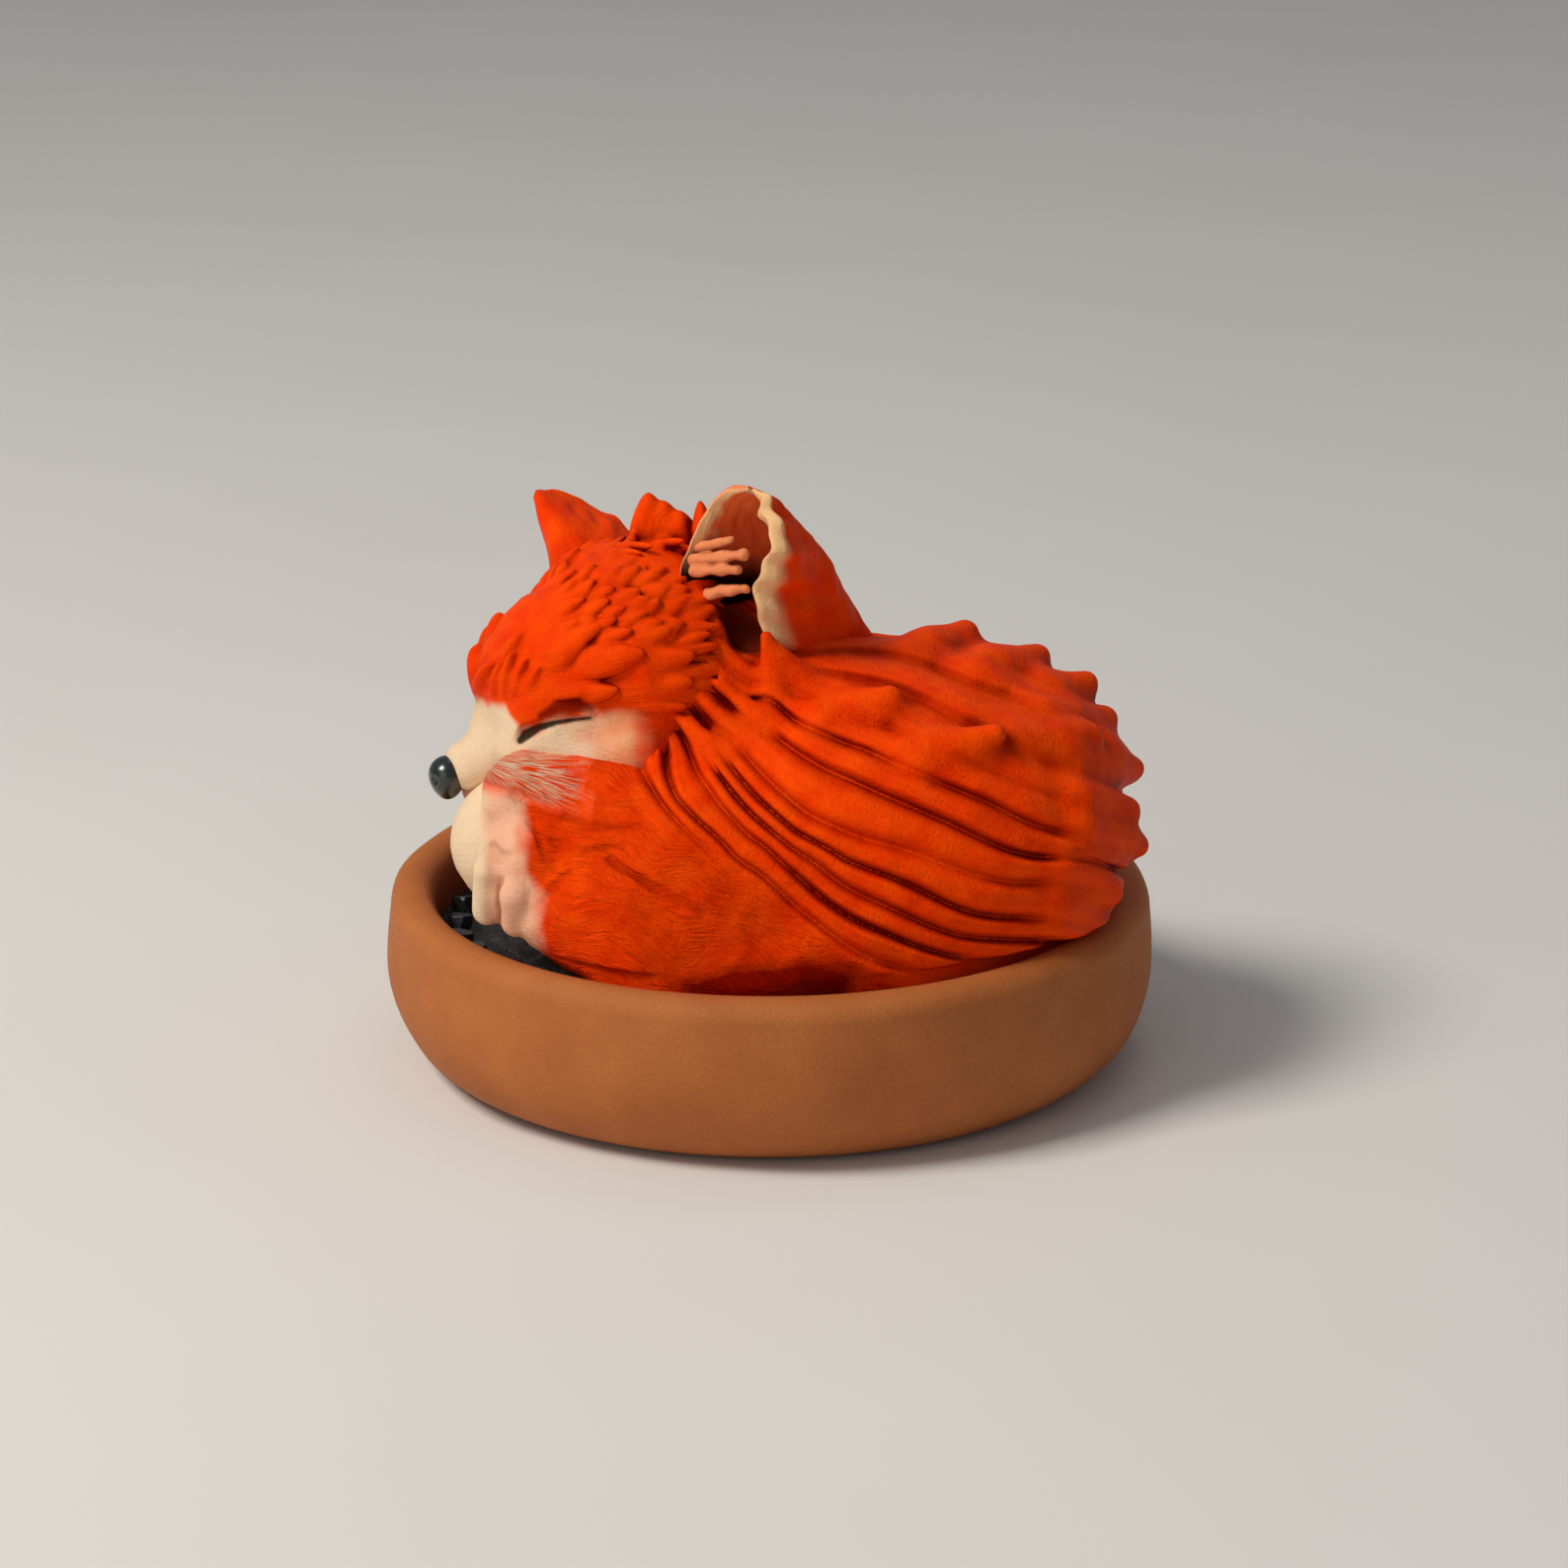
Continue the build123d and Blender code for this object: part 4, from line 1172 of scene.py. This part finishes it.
def buildTail():
    t = tailForm
    block = ClayBlock(t["low"], t["high"], t["grain"])
    block.fill(tailShape)
    block.emboss(tailStrands)
    aboveDish(block)
    points, quads, outward, hollow = block.surface()
    x, y, z = points.T
    turn = np.degrees(np.arctan2(y, x))
    cream = ease(t["split"] - 6, t["split"] + 3, turn + 5 * unevenness(x, y, z, 2.5, 63))
    across = aroundTail(x, y, z) * t["radius"] + 0.03 * turn
    flow = np.stack([across, np.radians(turn) * t["ring"], np.zeros_like(x)], 1)
    marks = {"hollow": hollow, "flow": flow, "cream": cream}
    label = (turn > t["split"]).astype(int)
    parts = [
        ("tailFur", ["tail"], "orange_clay", coatClay),
        ("tailTip", ["tail_tip"], "cream_clay", coatClay),
    ]
    splitPieces(parts, label, points, quads, outward, marks)


buildTail()
print("tail laid")

# Head: skull, muzzle, cheeks and lids, then flakes of clay laid over it; ends in head radii, sizes in mm,
# softness of the joins, then margin and softness of what is worked in
headForm = {
    "low": (-26, -16.5, 19), "high": (3, 8.5, 46), "grain": 0.12,
    "waves": ((0.10, 7.0, 72), (0.05, 2.4, 73)),
    "skullStart": (-0.05, 0, 0.02), "skullEnd": (0.3, 0, -0.1), "skullRadius": (9.7, 8.3),
    "muzzleStart": (0.6, 0, -0.43), "muzzleEnd": (1.22, 0, -0.66), "muzzleRadius": (4.5, 2.05),
    "cheekStart": (0.78, 0.5, -0.46), "cheekEnd": (0.1, 0.84, -0.4), "cheekRadius": (2.1, 2.6),
    "muzzleSoft": 2.0, "cheekSoft": 1.6, "brow": (2.5, 0.6), "lid": (2.5, 0.4), "ruff": (2.5, 0.3),
    "crown": (3.0, 0.5), "slit": (2.0, 0.3), "hole": (4.0, 0.6),
}


def skullShape(x, y, z):
    ends = onHead(*headForm["skullStart"]), onHead(*headForm["skullEnd"])
    return roll(x, y, z, *ends, *headForm["skullRadius"])


def muzzleShape(x, y, z):
    ends = onHead(*headForm["muzzleStart"]), onHead(*headForm["muzzleEnd"])
    return roll(x, y, z, *ends, *headForm["muzzleRadius"])


def cheekShape(x, y, z, side):
    spots = headForm["cheekStart"], headForm["cheekEnd"]
    ends = [onHead(front, out * side, up) for front, out, up in spots]
    return roll(x, y, z, *ends, *headForm["cheekRadius"])


def headBase(x, y, z):
    form = join(skullShape(x, y, z), muzzleShape(x, y, z), headForm["muzzleSoft"])
    for side in (1, -1):
        form = join(form, cheekShape(x, y, z, side), headForm["cheekSoft"])
    return form


# Flakes as seen: root, tip, width (picture points), thickness and lift of the tip (mm);
# scales, folds and fingers are scattered over a field, scales only below the slope through a corner
flakeForm = {
    "large": [
        (578, 674, 652, 662, 34, 1.7, 0.55), (606, 700, 698, 690, 36, 1.9, 0.6),
        (526, 706, 602, 700, 26, 1.5, 0.35), (584, 704, 628, 697, 20, 1.2, 0.4),
        (534, 682, 598, 648, 30, 1.4, 0.45), (640, 676, 700, 664, 26, 1.5, 0.6),
        (558, 658, 614, 634, 22, 1.3, 0.4), (620, 654, 678, 640, 24, 1.4, 0.5),
        (670, 704, 728, 700, 22, 1.3, 0.6), (630, 716, 694, 714, 18, 1.2, 0.35),
        (664, 686, 722, 676, 20, 1.3, 0.6), (600, 650, 640, 640, 18, 1.1, 0.4),
    ],
    "brow": [
        (498, 708, 509, 672, 12, 1.4, 0.2), (508, 710, 521, 662, 12, 1.5, 0.3),
        (518, 708, 535, 668, 12, 1.5, 0.3), (529, 706, 548, 676, 12, 1.3, 0.25),
        (484, 708, 486, 654, 18, 2.2, 0.25), (506, 668, 528, 644, 14, 1.1, 0.2),
    ],
    "lid": [(541, 730, 602, 722, 15, 1.4, 0.1)],
    "folds": {
        "from": (612, 562), "to": (690, 592), "step": 18, "long": 30, "wide": 13, "thick": 0.8,
        "lift": -0.05, "lean": -46,
    },
    "scales": {
        "from": (560, 596), "to": (696, 648), "step": 17, "long": 30, "wide": 17, "thick": 1.0,
        "lift": 0.32, "lean": -26, "corner": (560, 588), "cornerSlope": 0.9,
    },
    "fingers": {
        "from": (684, 592), "to": (756, 692), "step": 14.5, "long": 38, "wide": 13, "thick": 1.05,
        "lift": 0.75, "lean": -4,
    },
    "rows": 0.82, "columns": 1.25, "acrossJitter": 0.4, "downJitter": 0.35, "leanJitter": 16,
    "longSpread": (0.8, 1.2), "wideSpread": (0.85, 1.2), "lengths": (0.5, 9), "sunk": 0.3,
    "pixelsPerMm": 12.7,
}


# A field of flakes in loose rows
def scatterFlakes(field, dice):
    f, step = flakeForm, field["step"]
    flakes = []
    for v in np.arange(field["from"][1], field["to"][1] + 1, step * f["rows"]):
        for u in np.arange(field["from"][0], field["to"][0] + 1, step * f["columns"]):
            u1 = u + dice.uniform(-f["acrossJitter"], f["acrossJitter"]) * step
            v1 = v + dice.uniform(-f["downJitter"], f["downJitter"]) * step
            lean = math.radians(field["lean"] + dice.uniform(-f["leanJitter"], f["leanJitter"]))
            long = field["long"] * dice.uniform(*f["longSpread"])
            corner = field.get("corner")
            if corner and v1 - corner[1] < (corner[0] - u1) * field["cornerSlope"]:
                continue
            wide = field["wide"] * dice.uniform(*f["wideSpread"])
            u2, v2 = u1 + long * math.cos(lean), v1 + long * math.sin(lean)
            flakes.append((u1, v1, u2, v2, wide, field["thick"], field["lift"]))
    return flakes


def flakeLeaves():
    f = flakeForm
    dice = np.random.default_rng(71)
    seen = {"ruff": list(f["large"]), "brow": f["brow"], "lid": f["lid"]}
    for key in ("folds", "scales", "fingers"):
        seen["ruff"] += scatterFlakes(f[key], dice)
    leaves = {key: [] for key in seen}
    for key, given in seen.items():
        for u1, v1, u2, v2, wide, thick, lift in given:
            root, out = spotOn(headBase, u1, v1)
            tip, tipOut = spotOn(headBase, u2, v2)
            if f["lengths"][0] <= np.linalg.norm(tip - root) <= f["lengths"][1]:
                ends = root - out * thick * f["sunk"], tip + tipOut * lift
                leaves[key].append((*ends, unit(out + tipOut), wide / f["pixelsPerMm"], thick))
    return leaves


# Crown tuft as seen: root, tip, width, thickness and depth
crownForm = {
    "seen": [
        (664, 572, 656, 499, 44, 2.4, -1.0), (677, 570, 671, 507, 44, 2.3, -1.2),
        (690, 567, 687, 517, 42, 2.2, -1.6), (714, 556, 709, 507, 20, 1.8, -3.0),
    ],
    "facing": (0.1, -1.0, 0.2), "point": 0.42,
}
# Lines of the near eye and lid as seen, with half their width in picture points
eyeForm = {
    "near": [(527, 750), (533, 744), (545, 737), (562, 732), (580, 729), (598, 727)],
    "radius": (0.5, 0.62, 0.52, 0.44, 0.38, 0.3), "half": (3.5, 5.4, 4.0, 2.6, 2.0, 1.2), "lift": 0.4,
    "beside": 2.0,
}
lidForm = {"near": [(548, 725), (566, 717), (584, 715), (598, 718)], "half": (2.0, 6.5, 6.5, 2.0)}
# Face: lower edge of the orange as seen, and how its colours fade, in mm
faceTint = {
    "edge": [
        (478, 700), (494, 712), (512, 716), (528, 742),
        (560, 730), (600, 722), (640, 718), (684, 728),
    ],
    "edgeFade": (0.5, -0.55), "edgeUneven": 0.16, "backFade": (-0.6, 3.4), "peachFade": (6.5, 2.2),
    "backUneven": 0.4, "peach": 0.9, "slitFade": (1.4, -1.0), "slitDark": 0.95, "lidFade": (5.0, -2.0),
    "lidDark": 0.2, "furTurn": 9.0,
}


def crownLeaves():
    leaves = []
    for u1, v1, u2, v2, wide, thick, y in crownForm["seen"]:
        ends = atDepth(u1, v1, y), atDepth(u2, v2, y)
        sizes = wide / flakeForm["pixelsPerMm"], thick, crownForm["point"]
        leaves.append((*ends, np.array(crownForm["facing"]), *sizes))
    return leaves


def nearestLeaf(points, leaves):
    best = np.full(len(points), blockForm["far"])
    for given in leaves:
        close = np.nonzero(np.linalg.norm(points - (given[0] + given[1]) / 2, axis=1) < 6)[0]
        best[close] = np.minimum(best[close], leaf(*points[close].T, *given))
    return best


# The slits of both closed eyes, as short rolls
def eyeSlits():
    spots = liftedSpots(headBase, eyeForm["near"], eyeForm["lift"])
    radius = eyeForm["radius"]
    slits = []
    for line in (spots, [mirrored(spot) for spot in spots]):
        slits += [(line[n], line[n + 1], radius[n], radius[n + 1]) for n in range(len(line) - 1)]
    return slits


# Distance from a line of the near eye in the picture, less half its width there
def eyeLine(points, form):
    u, v = seenAt(points)
    far = 99.0
    best = np.full(len(points), far)
    line, half = np.array(form["near"], float), form["half"]
    for n in range(len(line) - 1):
        a, way = line[n], line[n + 1] - line[n]
        t = np.clip(((u - a[0]) * way[0] + (v - a[1]) * way[1]) / (way @ way), 0, 1)
        gap = np.hypot(u - a[0] - t * way[0], v - a[1] - t * way[1])
        best = np.minimum(best, gap - half[n] - t * (half[n + 1] - half[n]))
    return np.where((points - headMiddle) @ headLeft > eyeForm["beside"], best, far)


def faceMarks(points, hollow):
    f = faceTint
    x, y, z = points.T
    uneven = unevenness(x, y, z, 2.0, 74)
    ahead = (points - headMiddle) @ headAhead
    edge = np.array([spotOn(headBase, u, v)[0] for u, v in f["edge"]])
    edgeAhead = (edge - headMiddle) @ headAhead
    order = np.argsort(edgeAhead)
    brim = np.interp(ahead, edgeAhead[order], edge[order, 2])
    back = ahead + f["backUneven"] * uneven
    cream = ease(*f["edgeFade"], z - brim + f["edgeUneven"] * uneven) * ease(*f["backFade"], back)
    peach = cream * ease(*f["peachFade"], back) * f["peach"]
    across = mirrored(points)
    slit, lid = (np.minimum(eyeLine(points, line), eyeLine(across, line)) for line in (eyeForm, lidForm))
    lidShade = ease(*f["lidFade"], lid)
    dark = np.maximum(ease(*f["slitFade"], slit) * f["slitDark"], earShade(x, y, z))
    climb = np.arctan2(z - headMiddle[2], (points - headMiddle) @ headLeft)
    # painted shade in the creases and over the lids
    return {
        "hollow": np.clip(hollow + lidShade, 0, 1), "dark": np.maximum(dark, f["lidDark"] * lidShade),
        "flow": np.stack([climb * f["furTurn"], -ahead, np.zeros_like(x)], 1),
        "cream": np.clip(cream - 0.8 * peach, 0, 1), "peach": peach,
    }


def buildHead():
    f = headForm
    block = ClayBlock(f["low"], f["high"], f["grain"])
    block.fill(headBase)
    block.roughen(f["waves"])
    leaves, crown = flakeLeaves(), crownLeaves()
    farLeaves = {}
    for key, row in leaves.items():
        farLeaves[key] = [(mirrored(r), mirrored(t), mirroredWay(o), w, h) for r, t, o, w, h in row]
    for side in (leaves, farLeaves):
        for key in ("brow", "lid", "ruff"):
            block.workEach(join, leaf, side[key], *f[key])
    block.workEach(join, leaf, crown, *f["crown"])
    block.workEach(cut, roll, eyeSlits(), *f["slit"])
    block.carve(earHole, earHoleEnds, *f["hole"])
    points, quads, outward, hollow = block.surface()
    x, y, z = points.T
    near = [skullShape(x, y, z), muzzleShape(x, y, z), cheekShape(x, y, z, 1), cheekShape(x, y, z, -1)]
    for key in ("brow", "lid", "ruff"):
        near += [nearestLeaf(points, side[key]) for side in (leaves, farLeaves)]
    near.append(np.min([leaf(x, y, z, *given) for given in crown], axis=0))
    parts = [
        ("skullClay", ["head"], "orange_clay", faceClay),
        ("muzzleClay", ["muzzle"], "cream_clay", faceClay),
        ("cheekNear", ["cheek_near"], "cream_clay", faceClay),
        ("cheekFar", ["cheek_far"], "cream_clay", faceClay),
        ("browNear", ["brow_near"], "orange_clay", faceClay),
        ("browFar", ["brow_far"], "orange_clay", faceClay),
        ("eyelidNear", ["eyelid_near"], "orange_clay", faceClay),
        ("eyelidFar", ["eyelid_far"], "orange_clay", faceClay),
        ("ruffNear", ["ruff_near"], "orange_clay", ruffClay),
        ("ruffFar", ["ruff_far"], "orange_clay", ruffClay),
        ("crownTuft", ["crown_tuft"], "orange_clay", ruffClay),
    ]
    label = np.argmin(np.stack(near), axis=0)
    splitPieces(parts, label, points, quads, outward, faceMarks(points, hollow))
    return len(quads)


print("head sculpted:", buildHead(), "faces")

# Nose: a pad with a softer drop below it and two nostrils; places from its centre, in mm
noseForm = {
    "centre": (1.4, 0, -0.72), "radius": 1.45, "broad": 1.1, "drop": 0.7, "dropReach": 2.0,
    "dropSize": (1.25, 1.0), "dropSoft": 0.6, "nostril": (1.25, 0.95, -0.15), "nostrilEnd": (0.5, 0.15),
    "nostrilRadius": (0.3, 0.16), "carve": (1.2, 0.25), "room": 3.2, "grain": 0.05,
}
lipForm = {
    "start": (0.66, 0, -0.8), "end": (1.17, 0, -0.87), "radius": (1.94, 1.16), "waves": ((0.05, 1.5, 82),),
    "blush": 0.9, "room": 3, "grain": 0.08,
}
upward = np.array([0, 0, 1.0])


def noseShape(x, y, z, centre):
    f = noseForm
    pad = egg(x, y, z, centre, centre + headLeft, f["radius"] * f["broad"], f["radius"])
    drop = egg(x, y, z, centre - f["drop"] * upward, centre + f["dropReach"] * upward, *f["dropSize"])
    return join(pad, drop, f["dropSoft"])


def buildNose():
    f = noseForm
    centre = onHead(*f["centre"])
    block = ClayBlock(centre - f["room"], centre + f["room"], f["grain"])
    block.fill(noseShape, centre)
    ahead, aside, up = f["nostril"]
    for side in (1, -1):
        start = centre + headAhead * ahead + headLeft * side * aside + upward * up
        end = start + headLeft * side * f["nostrilEnd"][0] + upward * f["nostrilEnd"][1]
        block.carve(roll, [start, start], *f["carve"], start, end, *f["nostrilRadius"])
    points, quads, outward, hollow = block.surface()
    marks = {"hollow": hollow}
    makePiece("noseTip", points, quads, "fox", ["nose"], noseCoat, outward, marks)


def buildLip():
    f = lipForm
    start, end = onHead(*f["start"]), onHead(*f["end"])
    block = ClayBlock(np.minimum(start, end) - f["room"], np.maximum(start, end) + f["room"], f["grain"])
    block.fill(roll, start, end, *f["radius"])
    block.roughen(f["waves"])
    points, quads, outward, hollow = block.surface()
    marks = {"hollow": hollow, "blush": np.full(len(points), f["blush"]), "flow": points}
    makePiece("lipClay", points, quads, "fox", ["lip"], pawClay, outward, marks)


buildNose()
buildLip()
print("nose and lip set")

# Ears: cups drawn from three edges, front rim, back and rear rim, each (u, v, depth) from root to tip
nearEar = {
    "front": [
        (706, 690, -8.0), (694, 640, -8.0), (688, 602, -7.8), (692, 572, -7.2),
        (702, 543, -6.8), (719, 515, -6.8), (738, 498, -7.4), (758, 494, -8.0),
    ],
    "back": [
        (905, 705, 0.5), (880, 655, 0.0), (858, 622, -0.8), (842, 592, -1.8),
        (824, 562, -3.2), (803, 534, -4.8), (782, 510, -6.4), (763, 495, -7.8),
    ],
    "rear": [
        (792, 715, -6.0), (776, 670, -7.6), (767, 635, -9.2), (764, 600, -9.9),
        (770, 566, -10.0), (775, 538, -9.6), (771, 512, -8.8), (763, 495, -8.0),
    ],
    "wall": 0.8, "wave": 0.45, "waves": 3.4, "rimWide": 0.075, "curl": 0.5, "spread": 0.12, "bead": 1.0,
    # dark is how strongly the painted shade darkens the lining deep in the cup
    "dark": 1.0,
}
farEar = {
    "front": [
        (566, 590, 1.0), (560, 566, 2.0), (556, 548, 3.0), (553, 532, 3.9),
        (549, 515, 4.7), (545, 504, 5.2), (543, 497, 5.5),
    ],
    "back": [
        (612, 592, -1.2), (598, 566, 0.2), (588, 548, 1.2), (576, 532, 2.4),
        (562, 516, 3.6), (551, 504, 4.7), (544, 497, 5.4),
    ],
    "rear": [
        (668, 580, 4.0), (650, 556, 5.0), (634, 541, 5.6), (610, 528, 6.2),
        (582, 514, 6.4), (560, 503, 6.0), (546, 497, 5.7),
    ],
    "wall": 0.8, "wave": 0.15, "waves": 2.0, "rimWide": 0.05, "curl": 0.2, "spread": 0.0, "bead": 0.2,
    # dark is how strongly the painted shade darkens the lining deep in the cup
    "dark": 0.5,
}
earRows, earColumns = 110, 130


# A cup from the front rim around the back to the rear rim, and the way out over it
def earCup(form):
    edges = ([atDepth(*spot) for spot in form[key]] for key in ("front", "back", "rear"))
    front, back, rear = (smoothLine(edge, earRows) for edge in edges)
    bulge = (back - (front + rear) / 2) * 4 / 3
    spread = (front - rear) * form["spread"]
    t = np.linspace(0, 1, earColumns)[None, :, None]
    controls = (front, front + bulge + spread, rear + bulge - spread, rear)
    weights = ((1 - t) ** 3, 3 * t * (1 - t) ** 2, 3 * t * t * (1 - t), t ** 3)
    skin = sum(line[:, None] * weight for line, weight in zip(controls, weights))
    out = np.cross(np.gradient(skin, axis=1), np.gradient(skin, axis=0))
    out /= np.maximum(np.linalg.norm(out, axis=2, keepdims=True), 1e-9)
    halfway = earRows // 2
    if out[halfway, earColumns // 2] @ bulge[halfway] < 0:
        out = -out
    return skin, out


# The cup's mid skin waved and curled at the rear rim, and its thickness, with a bead along that rim
def earSkin(form, seed, climb, t):
    skin, out = earCup(form)
    taper = ease(1.0, 0.86, climb)
    turns = 2 * math.pi * form["waves"] * climb
    swing = np.sin(turns + 0.8 + 1.3 * np.sin(5 * climb)) + 0.5 * np.sin(turns * 2.3 + 2.0)
    wave = form["wave"] * swing * ease(0.72, 1.0, t) * taper
    curl = form["curl"] * ease(0.8, 1.0, t) ** 1.5 * taper
    spots = np.moveaxis(skin, 2, 0)
    dents = 0.10 * unevenness(*spots, 4.0, seed) + 0.04 * unevenness(*spots, 1.3, seed + 1)
    skin = skin + out * (wave + curl + dents)[..., None]
    beadLine = np.exp(-((t - 0.972) / 0.03) ** 2)
    bead = form["bead"] * (0.65 + 0.3 * np.sin(17 * climb + 1.0)) * beadLine * taper
    thick = form["wall"] * (0.45 + 0.55 * taper) + bead
    for edge in (1 - t, t):
        thick = thick * np.sqrt(np.clip(edge / 0.03, 0.05, 1))
    return skin, out, thick


# Cream rims, a pink lining with painted shade deep in the cup and at the root, and the lie of the fur
def earMarks(form, points, climb, t, inside, seed):
    rim = form["rimWide"]
    uneven = unevenness(*points.T, 1.4, seed + 2)
    rearEdge = ease(1 - rim * 1.5, 1 - rim * 0.7, t + 0.02 * uneven)
    frontEdge = ease(0.06, 0.025, t + 0.01 * uneven)
    topEdge = ease(0.93, 0.975, climb + 0.01 * uneven)
    innerCream = np.maximum(np.maximum(rearEdge, frontEdge * 0.9), topEdge * 0.9)
    outerCream = np.maximum(rearEdge * ease(1 - rim * 0.9, 1 - rim * 0.2, t), frontEdge * 0.4)
    cream = np.where(inside, innerCream, outerCream)
    # painted shade: the lining darkens toward black deep in the cup
    depth = ease(0.56, 0.36, climb) * ease(1.0, 0.93, t) * form["dark"]
    return {
        "cream": cream, "blush": np.where(inside, (1 - cream) * 0.95, 0.0),
        "dark": np.where(inside, depth, 0),
        # painted shade deep in the lining and at the root of the outer shell
        "hollow": np.where(inside, ease(0.62, 0.3, climb) * 0.9, 0.25 * ease(0.45, 0.1, climb)),
        "flow": np.stack([t * 14, climb * 14, np.zeros_like(t)], 1),
    }


def buildEar(form, shellName, shellNode, liningName, liningNode, seed):
    climb, t = np.linspace(0, 1, earRows)[:, None], np.linspace(0, 1, earColumns)[None, :]
    skin, out, thick = earSkin(form, seed, climb, t)
    half = out * (thick / 2)[..., None]
    points = np.concatenate([(skin - half).reshape(-1, 3), (skin + half).reshape(-1, 3)])
    cell = np.arange(earRows * earColumns).reshape(earRows, earColumns)
    shift = cell.size
    inner = np.stack([cell[:-1, :-1], cell[:-1, 1:], cell[1:, 1:], cell[1:, :-1]], -1).reshape(-1, 4)
    edges = [cell[0], cell[-1][::-1], cell[:, 0][::-1], cell[:, -1]]
    sides = np.concatenate([np.stack([e[:-1], e[:-1] + shift, e[1:] + shift, e[1:]], -1) for e in edges])
    outer = inner[:, ::-1] + shift
    # faces turn so that they look out of the wall
    if np.cross(skin[1, 0] - skin[0, 0], skin[0, 1] - skin[0, 0]) @ out[0, 0] <= 0:
        inner, outer, sides = inner[:, ::-1], outer[:, ::-1], sides[:, ::-1]
    climbAll, tAll = (np.tile(np.broadcast_to(a, cell.shape).ravel(), 2) for a in (climb, t))
    marks = earMarks(form, points, climbAll, tAll, np.arange(len(points)) < shift, seed)
    shell = np.concatenate([outer, sides])
    makeShare(shellName, [shellNode], "orange_clay", earClay, points, shell, None, marks)
    makeShare(liningName, [liningNode], "pink_clay", earClay, points, inner, None, marks)


buildEar(nearEar, "earNear", "ear_near", "earLiningNear", "ear_lining_near", 91)
buildEar(farEar, "earFar", "ear_far", "earLiningFar", "ear_lining_far", 95)

# Soft fingers of fur inside the near ear: start and tip as (u, v, depth), then radii
tuftForm = {
    "fingers": [
        ((706, 556, -6.6), (739, 547, -8.2), 0.44, 0.36), ((703, 567, -7.1), (753, 562, -9.2), 0.5, 0.45),
        ((703, 578, -7.6), (746, 577, -9.2), 0.46, 0.4), ((718, 601, -8.4), (754, 596, -9.6), 0.46, 0.4),
    ],
    "finger": (2.5, 0.15), "waves": ((0.05, 1.2, 99),), "room": 2, "grain": 0.09,
    "shade": 0.2, "cream": 0.4, "blush": 0.75,
}


def buildEarTufts():
    f = tuftForm
    rolls = [(atDepth(*start), atDepth(*tip), wide, narrow) for start, tip, wide, narrow in f["fingers"]]
    spots = np.array([end for given in rolls for end in given[:2]])
    block = ClayBlock(spots.min(0) - f["room"], spots.max(0) + f["room"], f["grain"])
    block.workEach(join, roll, rolls, *f["finger"])
    block.roughen(f["waves"])
    points, quads, outward, hollow = block.surface()
    marks = {key: np.full(len(points), f[key]) for key in ("cream", "blush")}
    # painted shade over the fingers, added to the crease shade
    marks.update({"hollow": np.clip(hollow + f["shade"], 0, 1), "flow": points})
    makePiece("earTufts", points, quads, "fox", ["ear_tufts"], earClay, outward, marks)


buildEarTufts()
print("ears raised")

# Hidden core and wire keep their solids
for node in ("foil_core", "neck_wire"):
    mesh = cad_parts[node].data
    mesh.materials.clear()
    mesh.materials.append(foilCoat)

# Floor, light and camera, in metres: each lamp has its place, size, power and colour
stageForm = {
    "floor": 6.0, "floorDrop": 0.00005, "floorLow": linear(222, 220, 216),
    "floorHigh": linear(230, 228, 225), "world": 0.22, "sky": (0.95, 0.97, 1.0, 1.0),
    "lampAim": (0, 0, 0.02), "keyLamp": ((-0.36, -0.18, 0.50), 0.22, 3.0, (1.0, 0.95, 0.87)),
    "fillLamp": ((-0.30, -0.48, 0.20), 0.40, 0.4, (1.0, 0.95, 0.88)),
    "backLamp": ((0.12, 0.28, 0.62), 0.30, 0.2, (1.0, 0.98, 0.95)),
}


def placeObject(name, data, place, turn):
    holder = bpy.data.objects.new(name, data)
    bpy.context.scene.collection.objects.link(holder)
    holder.location = place
    holder.rotation_euler = turn
    return holder


def layFloor():
    material, tree, shader = newMaterial("paleFloor")
    grain = useGroup(tree, grainGroup, Pore_Scale=900.0, Lump_Scale=14.0)
    tone = mixColour(tree, grain.outputs["Mottle"], stageForm["floorLow"], stageForm["floorHigh"])
    tree.links.new(tone, shader.inputs["Base Color"])
    shader.inputs["Roughness"].default_value = 0.85
    bpy.ops.mesh.primitive_plane_add(size=stageForm["floor"], location=(0, 0, -stageForm["floorDrop"]))
    floor = bpy.context.object
    floor.name = "paleFloor"
    floor.data.materials.append(material)


def lightStage():
    world = bpy.data.worlds.new("softRoom")
    bpy.context.scene.world = world
    world.use_nodes = True
    world.node_tree.nodes["Background"].inputs[0].default_value = stageForm["sky"]
    world.node_tree.nodes["Background"].inputs[1].default_value = stageForm["world"]
    for name in ("keyLamp", "fillLamp", "backLamp"):
        place, size, power, colour = stageForm[name]
        lamp = bpy.data.lights.new(name, "AREA")
        lamp.size, lamp.energy, lamp.color = size, power, colour
        way = np.array(stageForm["lampAim"]) - np.array(place)
        flat = math.hypot(way[0], way[1])
        placeObject(name, lamp, place, (math.atan2(flat, -way[2]), 0, math.atan2(-way[0], way[1])))


def placeCamera():
    lens = bpy.data.cameras.new("pictureCamera")
    lens.sensor_width = 36.0
    lens.lens = lens.sensor_width / 2 / math.tan(math.radians(shot["fieldOfView"] / 2))
    lens.clip_start, lens.clip_end = 0.01, 20
    turn = (math.pi / 2 - tilt, 0, 0)
    bpy.context.scene.camera = placeObject("pictureCamera", lens, tuple(stand / 1000), turn)


layFloor()
lightStage()
placeCamera()
bpy.context.scene.view_settings.view_transform = "Standard"
print("stage lit")

bpy.context.view_layer.update()
